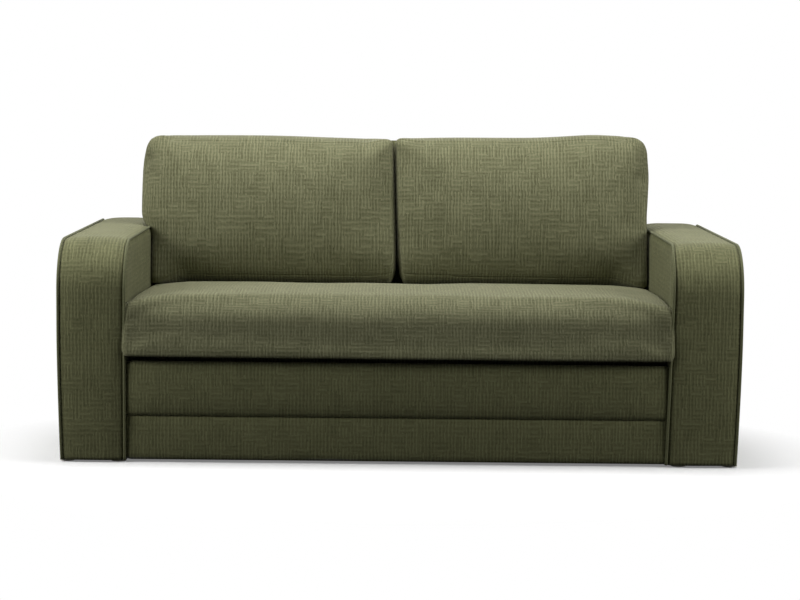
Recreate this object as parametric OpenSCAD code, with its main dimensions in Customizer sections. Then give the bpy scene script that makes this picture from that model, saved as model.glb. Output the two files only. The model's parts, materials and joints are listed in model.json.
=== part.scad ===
// Two-seater sofa bed with a roll-over bed frame, closed as a sofa.
// Frame: X across the sofa, front towards -Y, Z up. The origin is on the floor, under the middle.
// Closed, the bed is folded in three: the head third lies low inside the base, the middle third
// lies face down on it under the seat cushion, and the foot third stands behind the back cushions.

/* [Overall] */
// Width over both arms
sofa_w = 1800; // [1600:10:2200]
// Depth from the nose of the seat cushion to the outer back
sofa_d = 950; // [930:5:1050]
// Height to the top of the back cushions
sofa_h = 846; // [830:2:900]
// Height of the arms
arm_h = 580; // [540:5:640]
// Width of each arm
arm_w = 184; // [150:1:220]
// Height of the top of the seat cushion
seat_h = 440; // [425:1:470]

/* [Arms] */
// Radius of the rounded front corner of an arm
arm_corner_r = 125; // [90:5:220]
// Radius of the rear corner of an arm
arm_rear_r = 30; // [15:1:50]
// How far the arms stand back from the nose of the seat cushion
arm_setback = 10; // [5:1:20]
// Thickness of the padded band that wraps the arm
band_t = 22; // [15:1:30]
// Thickness of the padded side panels of an arm
side_pad_t = 9; // [6:0.5:14]
// Diameter of the piping
welt_d = 8; // [5:0.5:10]
// Thickness of the plywood cheeks inside an arm
cheek_t = 15; // [12:1:20]
// Width of the timber blocks between the cheeks
block_w = 45; // [30:1:60]

/* [Base] */
// Height of the glides under the arms
glide_h = 12; // [8:1:20]
// Diameter of a glide
glide_d = 40; // [25:1:50]
// Height of the upper edge of the front panel
front_h = 253; // [240:1:256]
// Height of the seam between the two front pads
seam_h = 124; // [90:1:150]
// Thickness of the upper front pad
upper_pad_t = 22; // [14:1:24]
// Thickness of the lower front pad
lower_pad_t = 18; // [10:1:20]
// Thickness of the plywood front board
board_t = 18; // [12:1:20]
// Height of the outer back
outer_back_h = 574; // [500:2:600]
// Thickness of the padding on the outer back
back_pad_t = 12; // [8:1:20]
// Thickness of the lining inside the outer back
lining_t = 6; // [3:1:8]
// Thickness of the cloth under the base
dust_t = 2; // [1:0.5:3]

/* [Bed frame] */
// Depth behind the rear hinge, for the leaning foot third
back_room = 230; // [225:1:300]
// Height of the fold between the head and middle thirds
fold_z = 130; // [128:1:132]
// Thickness of the mattress
mattress_t = 81; // [70:1:81]
// Side of the square frame tubes
tube = 20; // [18:1:20]
// Wall of the frame tubes
tube_wall = 1.5; // [1:0.1:2.5]
// Overhang of the seat cushion in front of the fold
nose_d = 70; // [60:1:74]
// Angle that the closed back leans away from upright
lean = 8; // [7:0.5:9]
// Angle that the lift cranks turn through
crank_turn = 120; // [115:1:125]
// How far the head third moves forward
lift_forward = 148; // [146:1:156]
// Gap between the ends of the mid leg and the foot leg, folded along the back
leg_gap = 8; // [4:0.5:20]
// Width of a lift crank
crank_w = 26; // [20:1:30]
// Thickness of a lift crank
crank_t = 5; // [4:0.5:5]
// Thickness of the base side plates
plate_t = 5; // [4:0.5:5]
// Diameter of the crank pivots
pivot_d = 12; // [8:1:14]
// Diameter of the hinge pins
pin_d = 10; // [8:1:12]
// Width of a leg bar
leg_w = 30; // [24:1:34]
// Thickness of a leg bar
leg_t = 6; // [5:0.5:6]
// Width of a webbing strap
strap_w = 50; // [40:1:60]
// Thickness of a webbing strap
strap_t = 2; // [1.5:0.5:2.5]

/* [Cushions] */
// Thickness of a back cushion
back_cushion_t = 176; // [140:1:190]
// Gap between the two back cushions
cushion_gap = 6; // [4:1:20]
// How far the sides of a cushion draw in between its corners
draw_in = 5; // [2:1:10]

/* [Hidden] */
// Clearances
play = 0.4;
seat_play = 0.3;
fit = 0.08;
over = 1;
side_gap = 4;
pad_setback = 3;
soft_gap = 2.5;
frame_side_gap = 14;
tube_end_gap = 3;
mattress_gap = 1;
// Where frame members start and stop, as shares of the sizes that they follow
head_start_share = 0.62;
mattress_start_share = 0.22;
seat_end_share = 0.85;
back_end_share = 0.6;
boss_share = 0.7;
bracket_share = 2.2;
// Main places worked out from the sizes above
front_y = -sofa_d / 2;
rear_y = sofa_d / 2;
inner_x = sofa_w / 2 - arm_w;
arm_front_y = front_y + arm_setback;
board_front_y = arm_front_y + pad_setback + upper_pad_t;
board_rear_y = board_front_y + board_t;
back_board_rear_y = rear_y - back_pad_t;
back_board_front_y = back_board_rear_y - board_t;
back_inner_y = back_board_front_y - lining_t;
axis_off = mattress_gap + mattress_t + tube / 2;
hinge_y = front_y + nose_d;
rear_hinge_y = rear_y - back_room;
section_l = rear_hinge_y - hinge_y;
head_axis_z = fold_z - axis_off;
seat_axis_z = fold_z + axis_off;
// Layers across the sofa, from the arm inwards
plate_x = inner_x - plate_t;
crank_x = plate_x - play - crank_t;
frame_x = inner_x - frame_side_gap;
frame_in_x = frame_x - tube;
head_plate_t = 3;
seat_plate_t = 5;
eye_wall = 7;
eye_d = pin_d + 2 * eye_wall;
leg_x = inner_x - side_gap - leg_t;
mattress_x = frame_in_x - side_gap;
// Back third, measured along its own slope from the rear hinge
back_l = (sofa_h - seat_axis_z) / cos(lean) - tube;
foot_pivot_s = back_l - tube;
back_end_s = tube * back_end_share;
back_frame_x = frame_x - play;
// Legs: both fold along the back, end to end, and so they set the height of the open bed
foot_gap = 1;
foot_leg_l = (foot_pivot_s - leg_gap) / (1 + 1 / cos(lean));
mid_leg_l = foot_leg_l / cos(lean);
open_axis_z = foot_leg_l + foot_gap;
// Cranks, with the places of their tips along the head third
lift_up = open_axis_z - seat_axis_z + 2 * axis_off;
rear_tip_share = 0.854;
front_tip_share = 0.346;
crank_chord = sqrt(lift_forward * lift_forward + lift_up * lift_up);
crank_r = crank_chord / (2 * sin(crank_turn / 2));
crank_start = atan2(lift_up, -lift_forward) - 90 - crank_turn / 2;
rear_tip_y = hinge_y + section_l * rear_tip_share;
front_tip_y = hinge_y + section_l * front_tip_share;
pivot_z = head_axis_z - crank_r * sin(crank_start);
pivot_back = crank_r * cos(crank_start);
rear_pivot_y = rear_tip_y - pivot_back;
front_pivot_y = front_tip_y - pivot_back;
// Cushions
deck_t = 22;
deck_z = seat_axis_z + tube / 2 + play;
seat_bottom_z = deck_z + deck_t + seat_play;
cushion_rear_y = rear_hinge_y - leg_w / 2 - side_gap * 2;
seat_half_w = inner_x - side_gap;
back_half_w = leg_x - play * 2;
back_bottom_s = (seat_h + soft_gap - seat_axis_z) / cos(lean) + tan(lean) * side_gap;
back_lining_t = 2.5;
top_share = 0.7;
cushion_top_s = (sofa_h - seat_axis_z
  - (back_cushion_t * top_share + tube / 2 + back_lining_t) * sin(lean)) / cos(lean);
back_pocket_t = 3;
pocket_l = 300;
strap_pitch_share = 0.155;
strap_count = 5;
strap_end_share = 0.19;
corner_block_share = 0.33;
// Cushion mesh
lon_n = 48;
lat_n = 16;
pad_round_share = 0.22;
seat_edge_share = 0.27;
back_edge_share = 0.32;
crown_share = 0.08;
rest_share = 0.8;
// Screws and small parts
screw_d = 6;
screw_head_d = 11;
screw_head_t = 2.5;
screw_l = 30;
screw_low_z = 36;
screw_high_z = 84;
handle_w = 190;
handle_h = 34;
handle_t = 3;
handle_bow = 28;
handle_drop_share = 0.33;
rail_w = 24;
rail_h = 60;

steel = "#8c8f90";
dark_steel = "#3b3d3e";
timber = "#c9a878";
olive = "#56573a";
olive_pad = "#66674a";
ticking = "#e6e2d6";

// Helpers
// A flat outline drawn in (Y, Z), standing across X from x0, t thick
module slab(x0, t) translate([x0, 0, 0]) rotate([90, 0, 90]) linear_extrude(height = t) children();
// A round bar along X
module pin_x(y, z, d, x0, x1) translate([x0, y, z]) rotate([0, 90, 0])
  cylinder(h = x1 - x0, d = d, $fn = 48);
// The same on the right and, mirrored, on the left
module both() { children(); mirror([1, 0, 0]) children(); }
// Square tube along Y, between y0 and y1, with its outer corner at x and z
module tube_y(x, y0, y1, z) difference() {
  translate([x, y0, z]) cube([tube, y1 - y0, tube]);
  translate([x + tube_wall, y0 - over, z + tube_wall])
    cube([tube - 2 * tube_wall, y1 - y0 + 2 * over, tube - 2 * tube_wall]);
}
// Square tube along X, centred on the sofa
module tube_across(half, y, z) difference() {
  translate([-half, y, z]) cube([2 * half, tube, tube]);
  translate([-half - over, y + tube_wall, z + tube_wall])
    cube([2 * half + 2 * over, tube - 2 * tube_wall, tube - 2 * tube_wall]);
}
// A bar with round ends from a to b, both [y, z]
module link_outline(a, b, w) {
  l = norm(b - a);
  translate(a) rotate(atan2(b[1] - a[1], b[0] - a[0])) {
    translate([0, -w / 2]) square([l, w]);
    circle(d = w, $fn = 48);
    translate([l, 0]) circle(d = w, $fn = 48);
  }
}
// Webbing across a frame, spread along its length l, straps flat
module straps(half, y0, l, z) for (i = [0 : strap_count - 1])
  translate([-half, y0 + l * (strap_end_share + i * strap_pitch_share) - strap_w / 2, z])
    cube([2 * half, strap_w, strap_t]);
// Place of the back third at rest
module on_back() translate([0, rear_hinge_y, seat_axis_z]) rotate([-lean, 0, 0]) children();

// Crowned pad: a superellipsoid, flat on the side it rests on, with sides drawn in and a crown
function spow(v, e) = sign(v) * pow(abs(v), e);
function pad_point(w, h, t, edge, lon, lat) =
  let (r = spow(cos(lat), edge),
       a = spow(cos(lon), pad_round_share) * r,
       b = spow(sin(lon), pad_round_share) * r,
       rise = 1 - crown_share * (1 - (1 - a * a) * (1 - b * b)),
       c = max(spow(sin(lat), edge), -rest_share))
  [a * (w / 2 - draw_in * (1 - b * b) * r),
   b * (h / 2 - draw_in * (1 - a * a) * r),
   (c > 0 ? c * rise : c) * t / (1 + rest_share) + t * rest_share / (1 + rest_share)];
module pad(w, h, t, edge) {
  ring = [for (j = [1 : lat_n - 1]) for (i = [0 : lon_n - 1])
    pad_point(w, h, t, edge, (i + 0.5) * 360 / lon_n, -90 + j * 180 / lat_n)];
  raw = concat([pad_point(w, h, t, edge, 0, -90)], ring, [pad_point(w, h, t, edge, 0, 90)]);
  // The corners reach the full size
  reach = [for (k = [0 : 2]) max([for (p = raw) p[k]])];
  points = [for (p = raw) [p[0] * w / 2 / reach[0], p[1] * h / 2 / reach[1], p[2] * t / reach[2]]];
  last = len(points) - 1;
  function id(j, i) = 1 + j * lon_n + (i % lon_n);
  faces = concat(
    [for (i = [0 : lon_n - 1]) [0, id(0, i), id(0, i + 1)]],
    [for (j = [0 : lat_n - 3]) for (i = [0 : lon_n - 1]) [id(j, i), id(j + 1, i), id(j + 1, i + 1)]],
    [for (j = [0 : lat_n - 3]) for (i = [0 : lon_n - 1]) [id(j, i), id(j + 1, i + 1), id(j, i + 1)]],
    [for (i = [0 : lon_n - 1]) [last, id(lat_n - 2, i + 1), id(lat_n - 2, i)]]);
  polyhedron(points = points, faces = faces, convexity = 4);
}

// Arms
// Side outline of an arm, drawn in from its covered size by inset
module arm_outline(inset) {
  z0 = glide_h + dust_t;
  y0 = arm_front_y + inset;
  y1 = rear_y - inset;
  z1 = arm_h - inset;
  rf = arm_corner_r - inset;
  rr = max(arm_rear_r - inset, inset / 2);
  translate([y0, z0]) square([y1 - y0, z1 - rf - z0]);
  translate([y0 + rf, z0]) square([y1 - y0 - rf - rr, z1 - z0]);
  translate([y0 + rf, z1 - rf]) circle(r = rf, $fn = 96);
  translate([y1 - rr, z1 - rr]) circle(r = rr, $fn = 48);
  translate([y1 - rr, z0]) square([rr, z1 - rr - z0]);
}
module screw_places() for (y = [screw_y(0), screw_y(1)], z = [screw_low_z, screw_high_z])
  translate([0, y, z]) children();
function screw_y(i) = i == 0 ? board_rear_y + strap_w / 2 : rear_pivot_y - strap_w;
module screw_hole(x0, x1, d) screw_places() translate([x0, 0, 0]) rotate([0, 90, 0])
  cylinder(h = x1 - x0, d = d, $fn = 32);
module arm_frame() color(timber) {
  x0 = inner_x + side_pad_t;
  x1 = sofa_w / 2 - side_pad_t;
  difference() {
    slab(x0, x1 - x0) arm_outline(band_t);
    translate([x0 + cheek_t, arm_front_y + band_t + block_w, glide_h - over])
      cube([x1 - x0 - 2 * cheek_t, sofa_d - arm_setback - 2 * band_t - 2 * block_w,
            arm_h - band_t - block_w - glide_h - arm_corner_r * corner_block_share + over]);
    screw_hole(x0 - over, x0 + cheek_t + over, screw_d + 2 * fit);
  }
}
module arm_band() color(olive) {
  x0 = inner_x + side_pad_t;
  slab(x0, arm_w - 2 * side_pad_t) difference() {
    arm_outline(0);
    arm_outline(band_t);
    translate([arm_front_y + band_t, glide_h - over])
      square([sofa_d - arm_setback - 2 * band_t, over * 2]);
  }
}
module arm_inner_pad() color(olive_pad) difference() {
  slab(inner_x, side_pad_t) arm_outline(0);
  screw_hole(inner_x - over, inner_x + side_pad_t + over, screw_d + 2 * fit);
}
module arm_outer_pad() color(olive_pad) slab(sofa_w / 2 - side_pad_t, side_pad_t) arm_outline(0);
// Piping over one seam of the arm: up the front, round the corner, back along the top and down
module welt_line(x) {
  r = arm_corner_r + welt_d / 2 + fit;
  rr = arm_rear_r + welt_d / 2 + fit;
  zc = arm_h - arm_corner_r;
  zr = arm_h - arm_rear_r;
  yc = arm_front_y + arm_corner_r;
  yr = rear_y - arm_rear_r;
  translate([x, yc - r, glide_h + dust_t]) cylinder(h = zc - glide_h - dust_t, d = welt_d, $fn = 24);
  translate([x, yc, zc]) rotate([90, 0, 90]) rotate_extrude(angle = 90, start = 90, $fn = 96)
    translate([r, 0]) circle(d = welt_d, $fn = 24);
  translate([x, yc, zc + r]) rotate([-90, 0, 0]) cylinder(h = yr - yc, d = welt_d, $fn = 24);
}
module arm_piping() color(olive) {
  welt_line(inner_x + side_pad_t);
  welt_line(sofa_w / 2 - side_pad_t);
}

// Base between the arms
module outer_back_board() color(timber)
  translate([-inner_x, back_board_front_y, glide_h + dust_t])
    cube([2 * inner_x, board_t, outer_back_h - back_pad_t - glide_h - dust_t]);
module outer_back_cover() color(olive) difference() {
  slab(-inner_x, 2 * inner_x) {
    translate([back_inner_y, glide_h + dust_t])
      square([rear_y - back_inner_y, outer_back_h - back_pad_t - glide_h - dust_t]);
    translate([back_inner_y + back_pad_t, glide_h + dust_t])
      square([rear_y - back_inner_y - 2 * back_pad_t, outer_back_h - glide_h - dust_t]);
    translate([back_inner_y + back_pad_t, outer_back_h - back_pad_t]) circle(r = back_pad_t, $fn = 48);
    translate([rear_y - back_pad_t, outer_back_h - back_pad_t]) circle(r = back_pad_t, $fn = 48);
  }
  translate([-inner_x - over, back_board_front_y, glide_h - over])
    cube([2 * inner_x + 2 * over, board_t, outer_back_h - back_pad_t - glide_h + over]);
}
module front_board() color(timber) translate([-inner_x, board_front_y, glide_h + dust_t])
  cube([2 * inner_x, board_t, front_h - 2 * side_gap - glide_h - dust_t]);
// A front pad with a rounded face, its rear on the board, between z0 and z1
module front_pad(t, z0, z1, half) {
  r = t / 2;
  slab(-half, 2 * half) {
    translate([board_front_y - t + r, z0]) square([t - r, z1 - z0]);
    translate([board_front_y - t, z0 + r]) square([t, z1 - z0 - 2 * r]);
    translate([board_front_y - t + r, z0 + r]) circle(r = r, $fn = 48);
    translate([board_front_y - t + r, z1 - r]) circle(r = r, $fn = 48);
  }
}
module upper_front_pad() color(olive)
  front_pad(upper_pad_t, seam_h + play, front_h, inner_x - side_gap / 2);
module lower_front_pad() color(olive)
  front_pad(lower_pad_t, glide_h + dust_t, seam_h - play, inner_x);
module rear_rail() color(timber) translate([-inner_x, back_inner_y - rail_w, glide_h + dust_t])
  cube([2 * inner_x, rail_w, rail_h]);
module dust_cover() color(dark_steel)
  translate([-sofa_w / 2 + side_pad_t, arm_front_y + band_t / 2, glide_h])
    cube([sofa_w - 2 * side_pad_t, rear_y - arm_front_y - band_t, dust_t]);
module glides() color("#d8d6cc") {
  in_x = inner_x + glide_d / 2 + side_gap;
  out_x = sofa_w / 2 - glide_d / 2 - side_gap;
  for (x = [-out_x, -in_x, in_x, out_x], y = [arm_front_y + glide_d, rear_y - glide_d])
    translate([x, y, 0]) cylinder(h = glide_h, d = glide_d, $fn = 48);
}

// Fixed half of the lift mechanism
module side_plate() color(steel) {
  y0 = board_rear_y + side_gap;
  y1 = rear_pivot_y + strap_w;
  z0 = glide_h + dust_t + side_gap;
  z1 = pivot_z + crank_w;
  difference() {
    translate([plate_x, y0, z0]) cube([plate_t, y1 - y0, z1 - z0]);
    screw_hole(plate_x - over, inner_x + over, screw_d + 2 * fit);
    for (y = [front_pivot_y, rear_pivot_y])
      pin_x(y, pivot_z, pivot_d + 2 * fit, plate_x - over, inner_x + over);
  }
}
module plate_screws() color(dark_steel) both() screw_places() rotate([0, 90, 0]) {
  translate([0, 0, plate_x - fit - screw_head_t])
    cylinder(h = screw_head_t, d = screw_head_d, $fn = 6);
  translate([0, 0, plate_x - fit - screw_head_t])
    cylinder(h = screw_l - side_gap, d = screw_d, $fn = 32);
}
module crank_pivots() color(steel) both() for (y = [front_pivot_y, rear_pivot_y])
  pin_x(y, pivot_z, pivot_d, crank_x, inner_x);

// Lift cranks, from the pivot in the side plate down to the head frame
module crank(y) color(steel) difference() {
  slab(crank_x, crank_t)
    link_outline([y, pivot_z], [y + pivot_back, head_axis_z], crank_w);
  pin_x(y, pivot_z, pivot_d + 2 * fit, crank_x - over, crank_x + crank_t + over);
}
module torsion_bar() color(steel) pin_x(rear_tip_y, head_axis_z, pivot_d, -crank_x, crank_x);
module front_crank_pins() color(steel) both()
  pin_x(front_tip_y, head_axis_z, pivot_d, frame_in_x - side_gap, crank_x);

// Head third: lies low in the base, with its frame under its mattress
head_y0 = hinge_y + nose_d * head_start_share;
head_y1 = rear_hinge_y - side_gap;
module head_tube() color(dark_steel) {
  z0 = head_axis_z - tube / 2;
  difference() {
    tube_y(frame_in_x, head_y0, head_y1, z0);
    for (y = [front_tip_y, rear_tip_y])
      pin_x(y, head_axis_z, pivot_d + 2 * fit, frame_in_x - over, frame_x + over);
  }
  difference() {
    slab(frame_x, head_plate_t) {
      polygon([[hinge_y - eye_d / 2, fold_z], [hinge_y + eye_d / 2, fold_z],
               [head_y0 + strap_w, z0 + tube], [head_y0 + strap_w, z0],
               [head_y0, z0], [head_y0, z0 + tube]]);
      translate([hinge_y, fold_z]) circle(d = eye_d, $fn = 48);
    }
    pin_x(hinge_y, fold_z, pin_d, frame_x - over, frame_x + head_plate_t + over);
  }
}
module head_tube_front() color(dark_steel) tube_across(frame_in_x, head_y0, head_axis_z - tube / 2);
module head_tube_rear() color(dark_steel)
  tube_across(frame_in_x, head_y1 - tube, head_axis_z - tube / 2);
module head_straps() color("#2c2c2c")
  straps(frame_in_x, head_y0, head_y1 - head_y0, head_axis_z + tube / 2 - strap_t);
module head_mattress() color(ticking)
  translate([-mattress_x, hinge_y + nose_d * mattress_start_share, head_axis_z + tube / 2])
    cube([2 * mattress_x, section_l - nose_d * mattress_start_share - side_gap, mattress_t]);
// Pins of the fold between the head and middle thirds, fixed in the head frame
module fold_pins() color(steel) both() {
  pin_x(hinge_y, fold_z, pin_d, frame_x - seat_plate_t - head_plate_t, frame_x + head_plate_t);
}

// Middle third: face down on the head third, with the seat cushion on its back
seat_y0 = hinge_y + tube_end_gap;
seat_y1 = rear_hinge_y - tube * seat_end_share;
module seat_tube() color(dark_steel) {
  z0 = seat_axis_z - tube / 2;
  tube_y(frame_in_x, seat_y0, seat_y1, z0);
  difference() {
    slab(frame_x - seat_plate_t - play, seat_plate_t) {
      polygon([[hinge_y - eye_d / 2, fold_z], [hinge_y + eye_d / 2, fold_z],
               [seat_y0 + strap_w, z0], [seat_y0, z0]]);
      translate([hinge_y, fold_z]) circle(d = eye_d, $fn = 48);
    }
    pin_x(hinge_y, fold_z, pin_d + 2 * fit, frame_x - seat_plate_t - over, frame_x + over);
  }
}
module seat_tube_front() color(dark_steel) tube_across(frame_in_x, seat_y0, seat_axis_z - tube / 2);
module seat_tube_rear() color(dark_steel)
  tube_across(frame_in_x, seat_y1 - tube, seat_axis_z - tube / 2);
module seat_straps() color("#2c2c2c")
  straps(frame_in_x, seat_y0, seat_y1 - seat_y0, seat_axis_z - tube / 2);
module middle_mattress() color(ticking)
  translate([-mattress_x, hinge_y, fold_z + mattress_gap])
    cube([2 * mattress_x, section_l - side_gap * 2, mattress_t]);
module seat_deck() color(timber) translate([-frame_in_x, hinge_y, deck_z])
  cube([2 * frame_in_x, cushion_rear_y - hinge_y, deck_t]);
module seat_cushion() color(olive)
  translate([0, (front_y + cushion_rear_y) / 2, seat_bottom_z])
    pad(2 * seat_half_w, cushion_rear_y - front_y, seat_h - seat_bottom_z, seat_edge_share);
bracket_l = strap_w * bracket_share;
// Leg at the joint of the middle and foot thirds, with the plate that carries the back hinge
module mid_leg() color(steel) {
  l = mid_leg_l - leg_w / 2;
  a = [rear_hinge_y, seat_axis_z];
  b = a + [sin(lean) * l, cos(lean) * l];
  difference() {
    union() {
      slab(leg_x, leg_t) {
        link_outline(a, b, leg_w);
        link_outline(a, [rear_hinge_y - bracket_l + tube / 2, seat_axis_z], tube);
      }
      slab(frame_x, leg_x - frame_x)
        translate([rear_hinge_y - bracket_l, seat_axis_z - tube / 2])
          square([bracket_l - tube, tube]);
    }
    pin_x(a[0], a[1], pin_d, leg_x - over, leg_x + leg_t + over);
  }
}
module back_hinge_pins() color(steel) both()
  pin_x(rear_hinge_y, seat_axis_z, pin_d, back_frame_x - tube - side_gap / 2, leg_x + leg_t);

// Foot third: stands behind the back cushions, its mattress facing back
module back_tube() color(dark_steel) on_back() difference() {
  translate([back_frame_x - tube, -tube / 2, -back_end_s]) cube([tube, tube, back_l + back_end_s]);
  translate([back_frame_x - tube + tube_wall, -tube / 2 + tube_wall, -back_end_s - over])
    cube([tube - 2 * tube_wall, tube - 2 * tube_wall, back_l + back_end_s + 2 * over]);
  pin_x(0, 0, pin_d + 2 * fit, back_frame_x - tube - over, back_frame_x + over);
  pin_x(0, foot_pivot_s, pin_d, back_frame_x - tube - over, back_frame_x + over);
}
module back_cross(s) on_back() difference() {
  translate([-back_frame_x + tube, -tube / 2, s]) cube([2 * (back_frame_x - tube), tube, tube]);
  translate([-back_frame_x + tube - over, -tube / 2 + tube_wall, s + tube_wall])
    cube([2 * (back_frame_x - tube) + 2 * over, tube - 2 * tube_wall, tube - 2 * tube_wall]);
}
module back_tube_bottom() color(dark_steel) back_cross(tube);
module back_tube_top() color(dark_steel) back_cross(back_l - tube);
module back_straps() color("#2c2c2c") on_back() for (i = [0 : strap_count - 1])
  translate([-back_frame_x + tube, tube / 2 - strap_t,
             back_l * (strap_end_share + i * strap_pitch_share) - strap_w / 2])
    cube([2 * (back_frame_x - tube), strap_t, strap_w]);
module foot_mattress() color(ticking) on_back()
  translate([-mattress_x, tube / 2, back_end_s]) cube([2 * mattress_x, mattress_t, back_l - back_end_s]);
module back_lining() color(olive) on_back()
  translate([-frame_in_x, -tube / 2 - back_lining_t, back_end_s])
    cube([2 * frame_in_x, back_lining_t, back_l - back_end_s]);
module back_cushion() color(olive) on_back()
  translate([(cushion_gap / 2 + back_half_w) / 2, -tube / 2 - back_lining_t - play,
             (back_bottom_s + cushion_top_s) / 2])
    rotate([90, 0, 0])
      pad(back_half_w - cushion_gap / 2, cushion_top_s - back_bottom_s, back_cushion_t,
          back_edge_share);
// Cloth pocket over the foot end of the mattress, down behind the outer back
module foot_pocket() color(olive) on_back() {
  rear = tube / 2 + mattress_t;
  translate([-frame_in_x, -tube / 2, back_l]) cube([2 * frame_in_x, rear + tube / 2 + back_pocket_t,
    back_pocket_t]);
  translate([-frame_in_x, rear, back_l - pocket_l]) cube([2 * frame_in_x, back_pocket_t, pocket_l + play]);
}
module pull_strap() color(olive) on_back() {
  y0 = tube / 2 + mattress_t + back_pocket_t;
  z0 = back_l - pocket_l * handle_drop_share;
  difference() {
    translate([-handle_w / 2, y0, z0]) cube([handle_w, handle_bow, handle_h]);
    translate([-handle_w / 2 + handle_h, y0 - over, z0 - over])
      cube([handle_w - 2 * handle_h, handle_bow - handle_t + over, handle_h + 2 * over]);
  }
}
module foot_leg_pins() color(steel) both() on_back()
  pin_x(0, foot_pivot_s, pin_d, back_frame_x - tube, leg_x + leg_t);

// Leg at the foot end, folded down along the back frame
module foot_leg() color(steel) on_back() difference() {
  union() {
    slab(leg_x, leg_t) link_outline([0, foot_pivot_s], [0, foot_pivot_s - foot_leg_l + leg_w / 2], leg_w);
    pin_x(0, foot_pivot_s, leg_w * boss_share, back_frame_x + play, leg_x);
  }
  pin_x(0, foot_pivot_s, pin_d + 2 * fit, back_frame_x - over, leg_x + leg_t + over);
}

mirror([1, 0, 0]) arm_frame();  // left_arm_frame
arm_frame();  // right_arm_frame
mirror([1, 0, 0]) arm_band();  // left_arm_band
arm_band();  // right_arm_band
mirror([1, 0, 0]) arm_inner_pad();  // left_arm_inner_pad
arm_inner_pad();  // right_arm_inner_pad
mirror([1, 0, 0]) arm_outer_pad();  // left_arm_outer_pad
arm_outer_pad();  // right_arm_outer_pad
mirror([1, 0, 0]) arm_piping();  // left_arm_piping
arm_piping();  // right_arm_piping
outer_back_board();
outer_back_cover();
front_board();
upper_front_pad();
lower_front_pad();
rear_rail();
dust_cover();
glides();
mirror([1, 0, 0]) side_plate();  // left_side_plate
side_plate();  // right_side_plate
plate_screws();
crank_pivots();
mirror([1, 0, 0]) crank(rear_pivot_y);  // rear_crank_left
crank(rear_pivot_y);  // rear_crank_right
torsion_bar();
mirror([1, 0, 0]) crank(front_pivot_y);  // front_crank_left
crank(front_pivot_y);  // front_crank_right
front_crank_pins();
mirror([1, 0, 0]) head_tube();  // head_tube_left
head_tube();  // head_tube_right
head_tube_front();
head_tube_rear();
head_straps();
head_mattress();
fold_pins();
mirror([1, 0, 0]) seat_tube();  // seat_tube_left
seat_tube();  // seat_tube_right
seat_tube_front();
seat_tube_rear();
seat_straps();
middle_mattress();
seat_deck();
seat_cushion();
mirror([1, 0, 0]) mid_leg();  // mid_leg_left
mid_leg();  // mid_leg_right
back_hinge_pins();
mirror([1, 0, 0]) back_tube();  // back_tube_left
back_tube();  // back_tube_right
back_tube_bottom();
back_tube_top();
back_straps();
foot_mattress();
back_lining();
mirror([1, 0, 0]) back_cushion();  // back_cushion_left
back_cushion();  // back_cushion_right
foot_pocket();
pull_strap();
foot_leg_pins();
mirror([1, 0, 0]) foot_leg();  // foot_leg_left
foot_leg();  // foot_leg_right
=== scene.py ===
# %% [markdown]
# # A two-seater sofa bed in olive jacquard
# The construction, with every board, tube, hinge and leg, is loaded as a fixed frame.
# This lesson dresses it: padded arms with piping, a front panel, loose cushions blown up
# with cloth physics, the mattress and the small textile parts, then the finish of every surface.

# %% Load the frame
import json
import math
import bmesh
import bpy
from mathutils import Matrix, Vector, noise


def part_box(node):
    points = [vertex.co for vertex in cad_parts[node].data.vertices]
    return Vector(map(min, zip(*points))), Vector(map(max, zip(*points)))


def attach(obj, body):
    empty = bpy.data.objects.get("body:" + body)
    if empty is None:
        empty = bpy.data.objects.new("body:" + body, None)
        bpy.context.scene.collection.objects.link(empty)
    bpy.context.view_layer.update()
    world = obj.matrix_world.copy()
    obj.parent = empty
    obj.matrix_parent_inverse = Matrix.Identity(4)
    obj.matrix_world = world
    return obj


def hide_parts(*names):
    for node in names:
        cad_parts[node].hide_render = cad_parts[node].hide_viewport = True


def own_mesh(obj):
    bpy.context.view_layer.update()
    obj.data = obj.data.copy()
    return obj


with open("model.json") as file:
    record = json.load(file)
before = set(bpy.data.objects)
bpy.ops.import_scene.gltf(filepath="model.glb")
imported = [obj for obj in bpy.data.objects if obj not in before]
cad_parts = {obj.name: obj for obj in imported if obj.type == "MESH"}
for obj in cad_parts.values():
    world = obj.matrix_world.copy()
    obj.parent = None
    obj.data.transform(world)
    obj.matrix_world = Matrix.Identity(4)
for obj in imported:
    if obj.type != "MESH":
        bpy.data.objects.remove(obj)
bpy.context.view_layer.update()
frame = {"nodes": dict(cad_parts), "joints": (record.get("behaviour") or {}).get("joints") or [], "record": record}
nodes = frame["nodes"]
joints = {joint["name"]: joint for joint in frame["joints"]}
scene = bpy.context.scene
scene.view_settings.view_transform = "Standard"
MM = 0.001


def add_object(name, data):
    made = bpy.data.objects.new(name, data)
    scene.collection.objects.link(made)
    return made


# %% [markdown]
# ## The camera
# The photograph was taken from about one metre up and nearly six metres away, with a long lens.
# The place was worked out from the piping lines of the arms, which run straight back to a
# vanishing point well above the sofa. The image is a touch lower on the right, so the camera rolls.

# %% Place the camera
PHOTO_WIDTH = 800
FOCAL_PX = 2229
SENSOR_MM = 36
CAMERA_PLACE = (-0.017, -6.253, 1.015)
TURN_DEG = -0.16
DOWN_DEG = 5.7
ROLL_DEG = 0.6
lens = bpy.data.cameras.new("camera")
lens.sensor_width = SENSOR_MM
lens.lens = FOCAL_PX * SENSOR_MM / PHOTO_WIDTH
camera = add_object("camera", lens)
camera.location = CAMERA_PLACE
turn = Matrix.Rotation(math.radians(TURN_DEG), 3, "Z")
tilt = Matrix.Rotation(math.radians(90 - DOWN_DEG), 3, "X")
roll = Matrix.Rotation(math.radians(ROLL_DEG), 3, "Z")
camera.rotation_euler = (turn @ tilt @ roll).to_euler()
scene.camera = camera
print("camera lens", round(lens.lens, 1), "mm")

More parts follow.
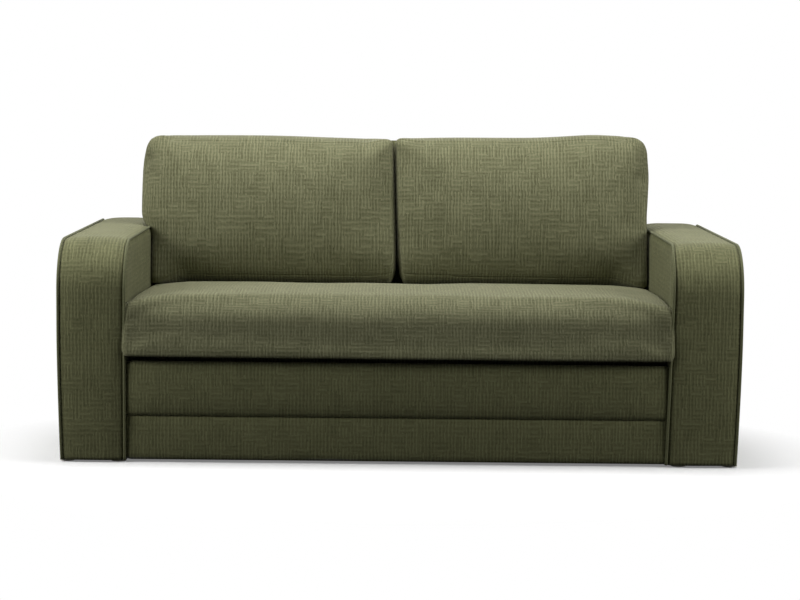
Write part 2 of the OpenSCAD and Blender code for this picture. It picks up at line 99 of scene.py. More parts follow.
# %% [markdown]
# ## Helpers for materials
# Colours are written as they look on screen and turned to linear light once. One function adds
# any node: a socket or a node given as an input is linked, and anything else is set as a value.

# %% Colour and node helpers


def rgb(code):
    """Linear colour from an sRGB hex code such as #5a5b3e."""
    parts = [int(code[i:i + 2], 16) / 255 for i in (1, 3, 5)]
    linear = [v / 12.92 if v <= 0.04045 else ((v + 0.055) / 1.055) ** 2.4 for v in parts]
    return (*linear, 1.0)


def add(tree, kind, inputs, **settings):
    node = tree.nodes.new(kind)
    for name, value in settings.items():
        setattr(node, name, value)
    for key, value in inputs.items():
        if isinstance(value, bpy.types.Node):
            value = value.outputs[0]
        if isinstance(value, bpy.types.NodeSocket):
            tree.links.new(value, node.inputs[key])
        else:
            node.inputs[key].default_value = value
    return node


def new_material(name):
    material = bpy.data.materials.new(name)
    material.use_nodes = True
    tree = material.node_tree
    tree.nodes.clear()
    return material, tree


def finish_material(tree, shader):
    add(tree, "ShaderNodeOutputMaterial", {"Surface": shader})


# %% [markdown]
# ## The jacquard cover
# The cloth is a polyester jacquard. Its face is a maze of short ribs that run either upright,
# about 9 mm apart, or across, about 13 mm apart. Each cover carries a UV map in real metres, so the
# ribs follow the cloth over its edges. Three upright ribs or two ribs across fill one small block,
# and each block picks its direction at random, more often upright. Where two neighbours pick the
# same one, the ribs run on. Every rib gets its own shade, and fine threads and a slow drift of
# tone break up what is left.

# %% Jacquard weave
RIB_UP = 9.2 * MM
RIB_ACROSS = 13.4 * MM
BLOCK_W = 3 * RIB_UP
BLOCK_H = 2 * RIB_ACROSS
BLOCK_H_SPREAD = 14 * MM
BLOCK_START_SPREAD = 7.31
RAGGED = 9 * MM
LONGER_ABOVE = 0.6
WANDER = 5.5 * MM
RIB_JOG = 0.36
RIB_THINNESS = 1.6
RIB_MEAN = 0.39
FIRMNESS_ACROSS = 0.6
FAINT_SHARE = 0.13
TONE_SHARE = 0.22
# Noise cells in a metre, and how far each noise shifts the shade
WANDER_CELLS, FADE_CELLS = 42.0, 55.0
THREAD_CELLS, THREAD_SHARE = 420.0, 0.4
CRINKLE_CELLS, CRINKLE_SHARE = 150.0, 0.65
PATCH_CELLS, PATCH_SHARE = 14.0, 0.35
# How far threads and crinkle stand out beside the ribs
THREAD_RELIEF, CRINKLE_RELIEF = 0.4, 0.7


def jacquard(name, dark, light, upright_share, contrast=0.27, sheen=0.16):
    """Dull woven polyester, rough to the eye, with a faint pale sheen where it turns away."""
    material, tree = new_material(name)
    uv = add(tree, "ShaderNodeUVMap", {}, uv_map="weave")
    drift = add(tree, "ShaderNodeTexNoise", {"Vector": uv, "Scale": WANDER_CELLS, "Detail": 3.0})
    centred = add(tree, "ShaderNodeVectorMath",
                  {0: drift.outputs["Color"], 1: (0.5, 0.5, 0.5)}, operation="SUBTRACT")
    nudge = add(tree, "ShaderNodeVectorMath", {0: centred, "Scale": WANDER}, operation="SCALE")
    place = add(tree, "ShaderNodeVectorMath", {0: uv, 1: nudge}, operation="ADD")
    axes = add(tree, "ShaderNodeSeparateXYZ", {0: place})
    across, along = axes.outputs[0], axes.outputs[1]
    phase_up = add(tree, "ShaderNodeMath", {0: across, 1: 1 / RIB_UP}, operation="MULTIPLY")
    phase_across = add(tree, "ShaderNodeMath", {0: along, 1: 1 / RIB_ACROSS}, operation="MULTIPLY")
    # A rib across is at times one upright rib longer, and upright ribs end a little unevenly
    rib_across = add(tree, "ShaderNodeMath", {0: phase_across}, operation="ROUND")
    reach = add(tree, "ShaderNodeTexWhiteNoise", {"W": rib_across}, noise_dimensions="1D")
    longer = add(tree, "ShaderNodeMath", {0: reach.outputs["Value"], 1: LONGER_ABOVE},
                 operation="GREATER_THAN")
    end_across = add(tree, "ShaderNodeMath", {0: longer, 1: RIB_UP, 2: across},
                     operation="MULTIPLY_ADD")
    rib_up = add(tree, "ShaderNodeMath", {0: phase_up}, operation="ROUND")
    ragged = add(tree, "ShaderNodeTexWhiteNoise", {"W": rib_up}, noise_dimensions="1D")
    end_along = add(tree, "ShaderNodeMath", {0: ragged.outputs["Value"], 1: RAGGED, 2: along},
                    operation="MULTIPLY_ADD")
    # Blocks: a column number, then a row number with a random height and start in each column
    columns = add(tree, "ShaderNodeMath", {0: end_across, 1: 1 / BLOCK_W}, operation="MULTIPLY")
    column = add(tree, "ShaderNodeMath", {0: columns}, operation="FLOOR")
    chance = add(tree, "ShaderNodeTexWhiteNoise", {"W": column}, noise_dimensions="1D")
    height = add(tree, "ShaderNodeMath",
                 {0: chance.outputs["Value"], 1: BLOCK_H_SPREAD, 2: BLOCK_H},
                 operation="MULTIPLY_ADD")
    rows = add(tree, "ShaderNodeMath", {0: end_along, 1: height}, operation="DIVIDE")
    start = add(tree, "ShaderNodeMath",
                {0: chance.outputs["Value"], 1: BLOCK_START_SPREAD, 2: rows},
                operation="MULTIPLY_ADD")
    row = add(tree, "ShaderNodeMath", {0: start}, operation="FLOOR")
    block = add(tree, "ShaderNodeCombineXYZ", {0: column, 1: row})
    pick = add(tree, "ShaderNodeTexWhiteNoise", {"Vector": block}, noise_dimensions="2D")
    upright = add(tree, "ShaderNodeMath", {0: pick.outputs["Value"], 1: upright_share},
                  operation="LESS_THAN")
    # Ribs: thin light ridges, each with its own tone and a little off the grid
    phase, other = (add(tree, "ShaderNodeMix", {0: upright, 2: first, 3: second}, data_type="FLOAT")
                    for first, second in ((phase_across, phase_up), (phase_up, phase_across)))
    rib = add(tree, "ShaderNodeMath", {0: phase}, operation="ROUND")
    label = add(tree, "ShaderNodeCombineXYZ", {0: rib, 1: row, 2: upright})
    tone = add(tree, "ShaderNodeTexWhiteNoise", {"Vector": label}, noise_dimensions="3D")
    jog = add(tree, "ShaderNodeMath", {0: tone.outputs["Value"], 1: RIB_JOG, 2: phase},
              operation="MULTIPLY_ADD")
    angle = add(tree, "ShaderNodeMath", {0: jog, 1: math.tau}, operation="MULTIPLY")
    wave = add(tree, "ShaderNodeMath", {0: angle}, operation="COSINE")
    swell = add(tree, "ShaderNodeMath", {0: wave, 1: 0.5, 2: 0.5}, operation="MULTIPLY_ADD")
    thin = add(tree, "ShaderNodeMath", {0: swell, 1: RIB_THINNESS}, operation="POWER")
    ridge = add(tree, "ShaderNodeMath", {0: thin, 1: RIB_MEAN}, operation="SUBTRACT")
    # They are weaker where they run across, and fade in and out along the way
    fade = add(tree, "ShaderNodeTexNoise", {"Vector": uv, "Scale": FADE_CELLS, "Detail": 1.0})
    depth = add(tree, "ShaderNodeMath", {0: upright, 1: 1 - FIRMNESS_ACROSS, 2: FIRMNESS_ACROSS},
                operation="MULTIPLY_ADD")
    strength = add(tree, "ShaderNodeMath", {0: fade, 1: 2.0}, operation="MULTIPLY")
    firmness = add(tree, "ShaderNodeMath", {0: depth, 1: strength}, operation="MULTIPLY")
    ridge = add(tree, "ShaderNodeMath", {0: ridge, 1: firmness}, operation="MULTIPLY")
    # The other direction shows faintly
    other_angle = add(tree, "ShaderNodeMath", {0: other, 1: math.tau}, operation="MULTIPLY")
    faint = add(tree, "ShaderNodeMath", {0: other_angle}, operation="COSINE")
    ridge = add(tree, "ShaderNodeMath", {0: faint, 1: FAINT_SHARE, 2: ridge},
                operation="MULTIPLY_ADD")
    # Threads, a fine crinkle and slow patches break up the rest
    threads = add(tree, "ShaderNodeTexNoise", {"Vector": uv, "Scale": THREAD_CELLS, "Detail": 2.0})
    crinkle = add(tree, "ShaderNodeTexNoise", {"Vector": uv, "Scale": CRINKLE_CELLS, "Detail": 2.0})
    patches = add(tree, "ShaderNodeTexNoise", {"Vector": uv, "Scale": PATCH_CELLS, "Detail": 3.0})
    mix = add(tree, "ShaderNodeMath", {0: ridge, 1: 2 * contrast, 2: 0.5}, operation="MULTIPLY_ADD")
    for source, share in ((tone.outputs["Value"], TONE_SHARE), (threads, THREAD_SHARE),
                          (crinkle, CRINKLE_SHARE), (patches, PATCH_SHARE)):
        shift = add(tree, "ShaderNodeMath", {0: source, 1: 0.5}, operation="SUBTRACT")
        mix = add(tree, "ShaderNodeMath", {0: shift, 1: share, 2: mix}, operation="MULTIPLY_ADD")
    colour = add(tree, "ShaderNodeMix", {0: mix, 6: rgb(dark), 7: rgb(light)},
                 data_type="RGBA", clamp_factor=True)
    relief = ridge
    for source, share in ((threads, THREAD_RELIEF), (crinkle, CRINKLE_RELIEF)):
        relief = add(tree, "ShaderNodeMath", {0: source, 1: share, 2: relief},
                     operation="MULTIPLY_ADD")
    bump = add(tree, "ShaderNodeBump", {"Height": relief, "Strength": 0.4, "Distance": 1 * MM})
    shader = add(tree, "ShaderNodeBsdfPrincipled",
                 {"Base Color": colour.outputs[2], "Normal": bump, "Roughness": 0.88,
                  "Specular IOR Level": 0.25, "Sheen Weight": sheen, "Sheen Roughness": 0.5,
                  "Sheen Tint": rgb("#e4e2cc")})
    finish_material(tree, shader)
    return material


cover_cloth = jacquard("olive_jacquard_upholstery", "#45462a", "#757653", 0.78, 0.24)
# On the arm sides the same cloth is made a shade darker and duller, as painted shade for their shadow
shaded_side_cloth = jacquard("olive_jacquard_arm_sides_painted_shade", "#3d3e25", "#696a4a", 0.78, 0.24,
                      sheen=0.04)
cushion_cloth = jacquard("olive_jacquard_cushions", "#48492f", "#7b7b5d", 0.70)
print("jacquard ribs", round(RIB_UP / MM, 1), "mm apart")

# %% [markdown]
# ## The piping
# The piping is the same cloth cut on the bias and wrapped round a cord, so its threads cross it
# slantwise. A fine slanting wave in the UV map gives that twist.

# %% Bias-cut piping


def bias_cloth(name, dark, light, pitch=3.2 * MM):
    """Dull cloth pulled tight over a cord, so its slanting threads stand out."""
    material, tree = new_material(name)
    uv = add(tree, "ShaderNodeUVMap", {}, uv_map="weave")
    axes = add(tree, "ShaderNodeSeparateXYZ", {0: uv})
    slant = add(tree, "ShaderNodeMath", {0: axes.outputs[0], 1: axes.outputs[1]}, operation="ADD")
    angle = add(tree, "ShaderNodeMath", {0: slant, 1: math.tau / pitch}, operation="MULTIPLY")
    wave = add(tree, "ShaderNodeMath", {0: angle}, operation="SINE")
    threads = add(tree, "ShaderNodeTexNoise", {"Vector": uv, "Scale": 500.0, "Detail": 2.0})
    mix = add(tree, "ShaderNodeMath", {0: wave, 1: 0.2, 2: threads}, operation="MULTIPLY_ADD")
    colour = add(tree, "ShaderNodeMix", {0: mix, 6: rgb(dark), 7: rgb(light)},
                 data_type="RGBA", clamp_factor=True)
    bump = add(tree, "ShaderNodeBump", {"Height": mix, "Strength": 0.7, "Distance": 0.4 * MM})
    shader = add(tree, "ShaderNodeBsdfPrincipled",
                 {"Base Color": colour.outputs[2], "Normal": bump, "Roughness": 0.85,
                  "Specular IOR Level": 0.2, "Sheen Weight": 0.08, "Sheen Roughness": 0.5})
    finish_material(tree, shader)
    return material


piping_cloth = bias_cloth("olive_bias_piping", "#42442b", "#747656")

# %% [markdown]
# ## Timber, metal, webbing and plastic
# The frame under the cloth is birch plywood and pine, zinc-plated pressed steel, square tube in a
# grey powder coat, black elastic webbing, and pale moulded glides. These sit on flat
# or turned parts of the frame, so their patterns read object coordinates, stretched along the
# grain or the strap.

# %% Materials of the frame


def grained_wood(name, dark, light, grain=2.5 * MM):
    """Sanded and left bare: pale, with long grain and fine open pores, and hardly any shine."""
    material, tree = new_material(name)
    where = add(tree, "ShaderNodeTexCoord", {}).outputs["Object"]
    stretch = add(tree, "ShaderNodeMapping", {"Vector": where, "Scale": (0.06, 0.5, 1.0)})
    rings = add(tree, "ShaderNodeTexNoise",
                {"Vector": stretch, "Scale": 0.25 / grain, "Detail": 6.0, "Distortion": 0.6})
    pores = add(tree, "ShaderNodeTexNoise",
                {"Vector": stretch, "Scale": 1 / grain, "Detail": 3.0})
    colour = add(tree, "ShaderNodeMix", {0: rings, 6: rgb(dark), 7: rgb(light)},
                 data_type="RGBA", clamp_factor=True)
    bump = add(tree, "ShaderNodeBump", {"Height": pores, "Strength": 0.4, "Distance": 0.3 * MM})
    shader = add(tree, "ShaderNodeBsdfPrincipled",
                 {"Base Color": colour.outputs[2], "Normal": bump, "Roughness": 0.62})
    finish_material(tree, shader)
    return material


def plated_steel(name, tint):
    """Pressed, then plated: a bright grey metal, its thin zinc duller in cloudy patches."""
    material, tree = new_material(name)
    where = add(tree, "ShaderNodeTexCoord", {}).outputs["Object"]
    bloom = add(tree, "ShaderNodeTexNoise", {"Vector": where, "Scale": 55.0, "Detail": 4.0})
    rough = add(tree, "ShaderNodeMapRange", {0: bloom, 3: 0.28, 4: 0.46})
    grit = add(tree, "ShaderNodeTexNoise", {"Vector": where, "Scale": 900.0})
    bump = add(tree, "ShaderNodeBump", {"Height": grit, "Strength": 0.15, "Distance": 0.1 * MM})
    shader = add(tree, "ShaderNodeBsdfPrincipled",
                 {"Base Color": rgb(tint), "Metallic": 1.0, "Roughness": rough, "Normal": bump})
    finish_material(tree, shader)
    return material


def powder_coat(name, tint, orange_peel=1.2 * MM):
    """Sprayed as powder and baked: a dark satin skin with the fine dimples called orange peel."""
    material, tree = new_material(name)
    where = add(tree, "ShaderNodeTexCoord", {}).outputs["Object"]
    peel = add(tree, "ShaderNodeTexNoise", {"Vector": where, "Scale": 1 / orange_peel})
    bump = add(tree, "ShaderNodeBump", {"Height": peel, "Strength": 0.35, "Distance": 0.15 * MM})
    rough = add(tree, "ShaderNodeMapRange", {0: peel, 3: 0.38, 4: 0.52})
    shader = add(tree, "ShaderNodeBsdfPrincipled",
                 {"Base Color": rgb(tint), "Roughness": rough, "Normal": bump})
    finish_material(tree, shader)
    return material


def woven_band(name, dark, light, pitch):
    """Black and dull, with a thread every pitch standing up across the band."""
    material, tree = new_material(name)
    where = add(tree, "ShaderNodeTexCoord", {}).outputs["Object"]
    picks = add(tree, "ShaderNodeTexWave", {"Vector": where, "Scale": 0.32 / pitch},
                bands_direction="X")
    threads = add(tree, "ShaderNodeTexNoise", {"Vector": where, "Scale": 700.0})
    mix = add(tree, "ShaderNodeMath", {0: picks.outputs[1], 1: threads}, operation="MULTIPLY")
    colour = add(tree, "ShaderNodeMix", {0: mix, 6: rgb(dark), 7: rgb(light)}, data_type="RGBA")
    bump = add(tree, "ShaderNodeBump",
               {"Height": picks.outputs[1], "Strength": 0.6, "Distance": 0.4 * MM})
    shader = add(tree, "ShaderNodeBsdfPrincipled",
                 {"Base Color": colour.outputs[2], "Normal": bump, "Roughness": 0.8})
    finish_material(tree, shader)
    return material


def moulded_plastic(name, tint):
    """Moulded in one piece: pale and smooth, half matt, and scuffed in patches."""
    material, tree = new_material(name)
    where = add(tree, "ShaderNodeTexCoord", {}).outputs["Object"]
    scuff = add(tree, "ShaderNodeTexNoise", {"Vector": where, "Scale": 180.0, "Detail": 5.0})
    rough = add(tree, "ShaderNodeMapRange", {0: scuff, 3: 0.35, 4: 0.6})
    bump = add(tree, "ShaderNodeBump", {"Height": scuff, "Strength": 0.2, "Distance": 0.1 * MM})
    shader = add(tree, "ShaderNodeBsdfPrincipled",
                 {"Base Color": rgb(tint), "Roughness": rough, "Normal": bump})
    finish_material(tree, shader)
    return material


finishes = {
    "timber": grained_wood("birch_plywood", "#b08a5c", "#d9bd92"),
    "zinc_steel": plated_steel("zinc_plated_steel", "#b9bcc0"),
    "painted_tube": powder_coat("grey_powder_coat", "#3f4244"),
    "webbing": woven_band("elastic_webbing", "#141414", "#3c3c3e", 2.4 * MM),
    "lining": woven_band("non_woven_lining", "#141415", "#2b2b2d", 1.2 * MM),
    "glide": moulded_plastic("moulded_glide_plastic", "#dbd8cd"),
}
slot_of = {part["node"]: part["material_slot"] for part in frame["record"]["subparts"]}
for name, node in nodes.items():
    if slot_of[name] in finishes:
        node.data.materials.clear()
        node.data.materials.append(finishes[slot_of[name]])
print("finishes for the frame:", ", ".join(finishes))

# %% [markdown]
# ## Mattress ticking
# The mattress is covered in off-white ticking, quilted in a plain diagonal grid of 60 mm. The
# quilting reads the piece's own UV map, like the jacquard.

# %% Quilted ticking
QUILT = 60 * MM


def quilted_ticking(name, dark, light):
    """Close-woven cotton: pale and dull, puffed up between the lines of stitching."""
    material, tree = new_material(name)
    uv = add(tree, "ShaderNodeUVMap", {}, uv_map="weave")
    turned = add(tree, "ShaderNodeMapping", {"Vector": uv, "Rotation": (0, 0, math.radians(45))})
    axes = add(tree, "ShaderNodeSeparateXYZ", {0: turned})
    puffs = []
    for axis in (0, 1):
        angle = add(tree, "ShaderNodeMath", {0: axes.outputs[axis], 1: math.pi / QUILT},
                    operation="MULTIPLY")
        wave = add(tree, "ShaderNodeMath", {0: angle}, operation="SINE")
        puff = add(tree, "ShaderNodeMath", {0: wave}, operation="ABSOLUTE")
        puffs.append(add(tree, "ShaderNodeMath", {0: puff, 1: 0.45}, operation="POWER"))
    height = add(tree, "ShaderNodeMath", {0: puffs[0], 1: puffs[1]}, operation="MULTIPLY")
    threads = add(tree, "ShaderNodeTexNoise", {"Vector": uv, "Scale": 800.0})
    # The colour follows the puffs: darker in the dips along the stitching, which is painted shade, with a random
    # tone from the threads
    mix = add(tree, "ShaderNodeMath", {0: threads, 1: 0.3, 2: height}, operation="MULTIPLY_ADD")
    colour = add(tree, "ShaderNodeMix", {0: mix, 6: rgb(dark), 7: rgb(light)},
                 data_type="RGBA", clamp_factor=True)
    bump = add(tree, "ShaderNodeBump", {"Height": mix, "Strength": 0.8, "Distance": 4 * MM})
    shader = add(tree, "ShaderNodeBsdfPrincipled",
                 {"Base Color": colour.outputs[2], "Normal": bump, "Roughness": 0.8,
                  "Sheen Weight": 0.1})
    finish_material(tree, shader)
    return material


ticking = quilted_ticking("quilted_ticking", "#c9c4b4", "#ece8dc")

# %% [markdown]
# ## Helpers for shapes
# A few helpers make nearly every soft piece. `run` and `bend` carry a closed ring of edges along
# straight runs and round turns, as a band of cloth is wrapped round an arm, and `cap` closes its
# ends. `soft_block` starts as a box of even cells, keeps a UV map of the flat cloth, and rounds
# its edges. `dress` turns a finished mesh into an object, with its material, body and what it
# replaces.

# %% Shape helpers
CREASE = 0.9


def arc(centre, radius, start, turn, steps):
    """Points on an arc in a plane, from an angle in degrees through a turn, both ends included."""
    angles = [math.radians(start + turn * i / steps) for i in range(steps + 1)]
    return [(centre[0] + radius * math.cos(a), centre[1] + radius * math.sin(a)) for a in angles]


def ring_of(bm, points):
    """A closed ring of edges through a few points."""
    verts = [bm.verts.new(point) for point in points]
    return [bm.edges.new((a, b)) for a, b in zip(verts, verts[1:] + verts[:1])]


def run(bm, ring, travel, steps):
    """Extrudes a ring along a straight line in equal steps and gives the last ring."""
    for _ in range(steps):
        made = bmesh.ops.extrude_edge_only(bm, edges=ring)["geom"]
        verts = {item for item in made if isinstance(item, bmesh.types.BMVert)}
        ring = [item for item in made
                if isinstance(item, bmesh.types.BMEdge) and set(item.verts) <= verts]
        bmesh.ops.translate(bm, verts=list(verts), vec=Vector(travel) / steps)
    return ring


def bend(bm, ring, centre, degrees, steps):
    """Spins a ring about an axis along X and gives the last ring."""
    verts = list({vert for edge in ring for vert in edge.verts})
    last = bmesh.ops.spin(bm, geom=verts + ring, cent=centre, axis=(1, 0, 0),
                          angle=math.radians(degrees), steps=steps)["geom_last"]
    return [item for item in last if isinstance(item, bmesh.types.BMEdge)]


def cap(bm, *rings):
    """Closes each ring with one face."""
    for ring in rings:
        bmesh.ops.contextual_create(bm, geom=ring)


def map_cloth(bm, place):
    """Writes the weave's UV map, in metres: place gives (across, along) for a face and a point."""
    layer = bm.loops.layers.uv.get("weave") or bm.loops.layers.uv.new("weave")
    for face in bm.faces:
        for loop in face.loops:
            loop[layer].uv = place(face, loop.vert.co)


def firm_foot(bm, level):
    """Keeps the edges that lie at a level crisp when the mesh is smoothed."""
    layer = bm.edges.layers.float.new("crease_edge")
    for edge in bm.edges:
        if max(vert.co.z for vert in edge.verts) < level + 1 * MM:
            edge[layer] = CREASE


def dress(name, bm, material, body, replaced=(), smooth=1):
    """A finished object in the frame: outward faces, soft shading, material and body."""
    bmesh.ops.recalc_face_normals(bm, faces=bm.faces)
    mesh = bpy.data.meshes.new(name)
    bm.to_mesh(mesh)
    bm.free()
    mesh.materials.append(material)
    mesh.polygons.foreach_set("use_smooth", [True] * len(mesh.polygons))
    piece = add_object(name, mesh)
    if smooth:
        finer = piece.modifiers.new("finer", "SUBSURF")
        finer.levels = finer.render_levels = smooth
    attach(piece, body)
    if replaced:
        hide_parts(*replaced)
    print(name, len(mesh.polygons), "faces")
    return piece


def unevenness(point, drift):
    """Stuffing is never quite flat. drift is how long its slow waves are, and how high."""
    size, amount = drift
    return noise.noise(Vector(point) / size) * amount


def clamped(value):
    return min(1.0, max(0.0, value))


def eased(value):
    """0 below 0, 1 above 1, and a smooth step between."""
    value = clamped(value)
    return value * value * (3 - 2 * value)


def between(first, last, share):
    """Goes smoothly from first, at a share of 0, to last, at a share of 1."""
    return first + (last - first) * eased(share)


def even_edges(radius):
    """The same radius on every edge of a soft block."""
    return lambda co: ((radius, radius),) * 3


# %% Soft blocks


def celled_box(low, high, cells):
    """A box whose faces are cut into even cells, as many along each axis as cells says."""
    size = Vector(high) - Vector(low)
    bm = bmesh.new()
    bmesh.ops.create_cube(bm, size=1.0)
    bmesh.ops.scale(bm, vec=size, verts=bm.verts)
    bmesh.ops.translate(bm, vec=(Vector(low) + Vector(high)) / 2, verts=bm.verts)
    for axis, count in enumerate(cells):
        if count < 2:
            continue
        edges = [edge for edge in bm.edges
                 if abs((edge.verts[0].co - edge.verts[1].co)[axis]) > size[axis] / 2]
        bmesh.ops.subdivide_edges(bm, edges=edges, cuts=count - 1, use_grid_fill=True)
    bm.normal_update()
    return bm


def soft_block(low, high, cell, radii, shift=(0.0, 0.0)):
    """A box of even cells with a cloth UV map and rounded edges.

    radii gives ((left, right), (front, rear), (bottom, top)) for a point. The cloth runs over
    the top, the front and the bottom in one piece, and each end has its own.
    """
    low, high = Vector(low), Vector(high)
    size = high - low
    bm = celled_box(low, high, [max(2, round(length / cell)) for length in size])

    def place(face, co):
        side = max(range(3), key=lambda i: abs(face.normal[i]))
        if side == 0:
            return (co.y + shift[0] + face.normal.x, co.z + shift[1])
        if side == 2 and face.normal.z > 0:
            return (co.x + shift[0], co.y + shift[1])
        if side == 1 and face.normal.y < 0:
            return (co.x + shift[0], low.y - (high.z - co.z) + shift[1])
        if side == 2:
            return (co.x + shift[0], low.y - size.z - (co.y - low.y) + shift[1])
        return (co.x + shift[0], high.y + (high.z - co.z) + shift[1])

    map_cloth(bm, place)
    for vert in bm.verts:
        centre, reach, rounding = vert.co.copy(), Vector((0, 0, 0)), Vector((1, 1, 1))
        for i, (r_low, r_high) in enumerate(radii(vert.co)):
            if vert.co[i] < low[i] + r_low:
                centre[i], rounding[i] = low[i] + r_low, r_low
            elif vert.co[i] > high[i] - r_high:
                centre[i], rounding[i] = high[i] - r_high, r_high
            reach[i] = (vert.co[i] - centre[i]) / rounding[i]
        if reach.length > 0:
            reach = reach.normalized() * max(abs(v) for v in reach)
            vert.co = centre + reach * rounding
    return bm


# %% [markdown]
# ## Blowing up a cushion
# A real cushion is a cover stuffed a little too full. Cloth physics does the same: the block's
# mesh becomes cloth, air pressure pushes it out from inside, and the seams and the side that
# rests on the frame are held. How far any point may travel is capped, so the cushion keeps
# to its place.

# %% Cloth physics
SIM_FRAMES = 20
PRESSURE = 3.0
STIFFNESS = 18.0
FURTHEST = 9 * MM


def inflate(piece, held):
    """Runs cloth pressure on a piece; held(co) gives how firmly a point is kept, from 0 to 1."""
    mesh = piece.data
    start = [vert.co.copy() for vert in mesh.vertices]
    group = piece.vertex_groups.new(name="held")
    for vert in mesh.vertices:
        group.add([vert.index], held(vert.co), "REPLACE")
    cloth = piece.modifiers.new("cloth", "CLOTH")
    piece.modifiers.move(len(piece.modifiers) - 1, 0)
    settings = cloth.settings
    settings.quality = 6
    settings.mass = 0.4
    settings.tension_stiffness = settings.compression_stiffness = STIFFNESS
    settings.shear_stiffness = STIFFNESS / 2
    settings.bending_stiffness = 2.0
    settings.use_pressure = True
    settings.uniform_pressure_force = PRESSURE
    settings.vertex_group_mass = "held"
    settings.effector_weights.gravity = 0.0
    cloth.point_cache.frame_start = 1
    cloth.point_cache.frame_end = SIM_FRAMES
    finer = piece.modifiers.get("finer")
    if finer:
        finer.show_viewport = False
    for number in range(1, SIM_FRAMES + 1):
        scene.frame_set(number)
    shape = piece.evaluated_get(bpy.context.evaluated_depsgraph_get()).to_mesh()
    moved = [vert.co.copy() for vert in shape.vertices]
    furthest = 0.0
    for vert, before, after in zip(mesh.vertices, start, moved):
        travel = after - before
        furthest = max(furthest, travel.length)
        if travel.length > FURTHEST:
            travel *= FURTHEST / travel.length
        vert.co = before + travel
    piece.modifiers.remove(cloth)
    piece.vertex_groups.clear()
    scene.frame_set(1)
    if finer:
        finer.show_viewport = True
    print(piece.name, "moved up to", round(furthest / MM, 1), "mm")


# %% [markdown]
# ## The arms
# Each arm is a timber box with a padded band that wraps up the front, round the corner and back
# along the top. A flat pad covers each side, and piping hides both seams. The band is a
# crowned cross-section carried along the arm's outline with runs and turns. Left and right are
# as the photograph shows them, so the right arm is at +X.

# %% Arm outline
arm_low, arm_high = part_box("right_arm_band")
INNER_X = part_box("right_arm_inner_pad")[0].x
OUTER_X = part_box("right_arm_outer_pad")[1].x
SEAM_IN = 721 * MM
SEAM_OUT = 894 * MM
WELT_R = 3.8 * MM
FOOT_TAPER = 7 * MM
FOOT_LEAN = 9 * MM
TAPER_FROM = 340 * MM
INNER_LEAN = 17 * MM
NO_LEAN_Z = 750 * MM
LEAN_ENDS = 110 * MM
LEAN_FADE = 70 * MM
UPRIGHT_STEPS, FRONT_BEND_STEPS, TOP_STEPS, REAR_BEND_STEPS = 22, 12, 36, 6
CORNER_R = 125 * MM
REAR_R = 30 * MM
BAND_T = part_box("right_arm_frame")[0].y - arm_low.y
FRONT_Y, REAR_Y = arm_low.y, arm_high.y
ARM_BASE, ARM_TOP = arm_low.z - 8 * MM, arm_high.z
front_centre = Vector((0, FRONT_Y + CORNER_R, ARM_TOP - CORNER_R))
rear_centre = Vector((0, REAR_Y - REAR_R, ARM_TOP - REAR_R))
# The drift of a band runs outward from the heart of the arm
ARM_HEART = Vector((0, 0.05, 0.25))


def along_arm(co):
    """Length of cloth from the bottom of the front, up, over and down to a point."""
    rise = front_centre.z - ARM_BASE
    if co.z <= front_centre.z and co.y < front_centre.y:
        return co.z - ARM_BASE
    if co.y < front_centre.y:
        lean = math.atan2(co.z - front_centre.z, front_centre.y - co.y)
        return rise + CORNER_R * lean
    length = rise + CORNER_R * math.pi / 2
    if co.y <= rear_centre.y:
        return length + co.y - front_centre.y
    length += rear_centre.y - front_centre.y
    if co.z >= rear_centre.z:
        return length + REAR_R * math.atan2(co.y - rear_centre.y, co.z - rear_centre.z)
    return length + REAR_R * math.pi / 2 + rear_centre.z - co.z


def carry_round_arm(bm, ring):
    """Carries a ring from the bottom of the front to the bottom of the rear."""
    ring = run(bm, ring, (0, 0, front_centre.z - ARM_BASE), UPRIGHT_STEPS)
    ring = bend(bm, ring, front_centre, -90, FRONT_BEND_STEPS)
    ring = run(bm, ring, (0, rear_centre.y - front_centre.y, 0), TOP_STEPS)
    ring = bend(bm, ring, rear_centre, -90, REAR_BEND_STEPS)
    return run(bm, ring, (0, 0, ARM_BASE - rear_centre.z), UPRIGHT_STEPS)


def draw_in_foot(bm, sign):
    """The outside of an arm draws in towards the floor, and its front leans back a little.

    On the right arm the front's inner seam leans inwards as well, as in the photograph.
    """
    for vert in bm.verts:
        down = max(0.0, (TAPER_FROM - vert.co.z) / (TAPER_FROM - ARM_BASE))
        share = clamped((vert.co.x - SEAM_IN) / (SEAM_OUT - SEAM_IN))
        vert.co.x -= FOOT_TAPER * down ** 1.4 * share
        if sign > 0:
            at_front = eased((FRONT_Y + LEAN_ENDS - vert.co.y) / LEAN_FADE)
            vert.co.x -= INNER_LEAN * (1 - vert.co.z / NO_LEAN_Z) * (1 - share) * at_front
        if vert.co.y < FRONT_Y + 15 * MM:
            vert.co.y += FOOT_LEAN * down ** 2


def finish_foot(bm, sign):
    """Keeps the foot of an arm's part crisp, shapes it, and mirrors it for the left arm."""
    firm_foot(bm, ARM_BASE)
    draw_in_foot(bm, sign)
    bmesh.ops.scale(bm, vec=(sign, 1, 1), verts=bm.verts)


# %% Arm bands
BAND_CROWN = 8 * MM
BAND_EDGE = 5 * MM
GROOVE = 5.5 * MM
BAND_CELLS = 12
BAND_DRIFT = (0.11, 2.4 * MM)
BAND_UNDER_WELT = 0.8 * MM


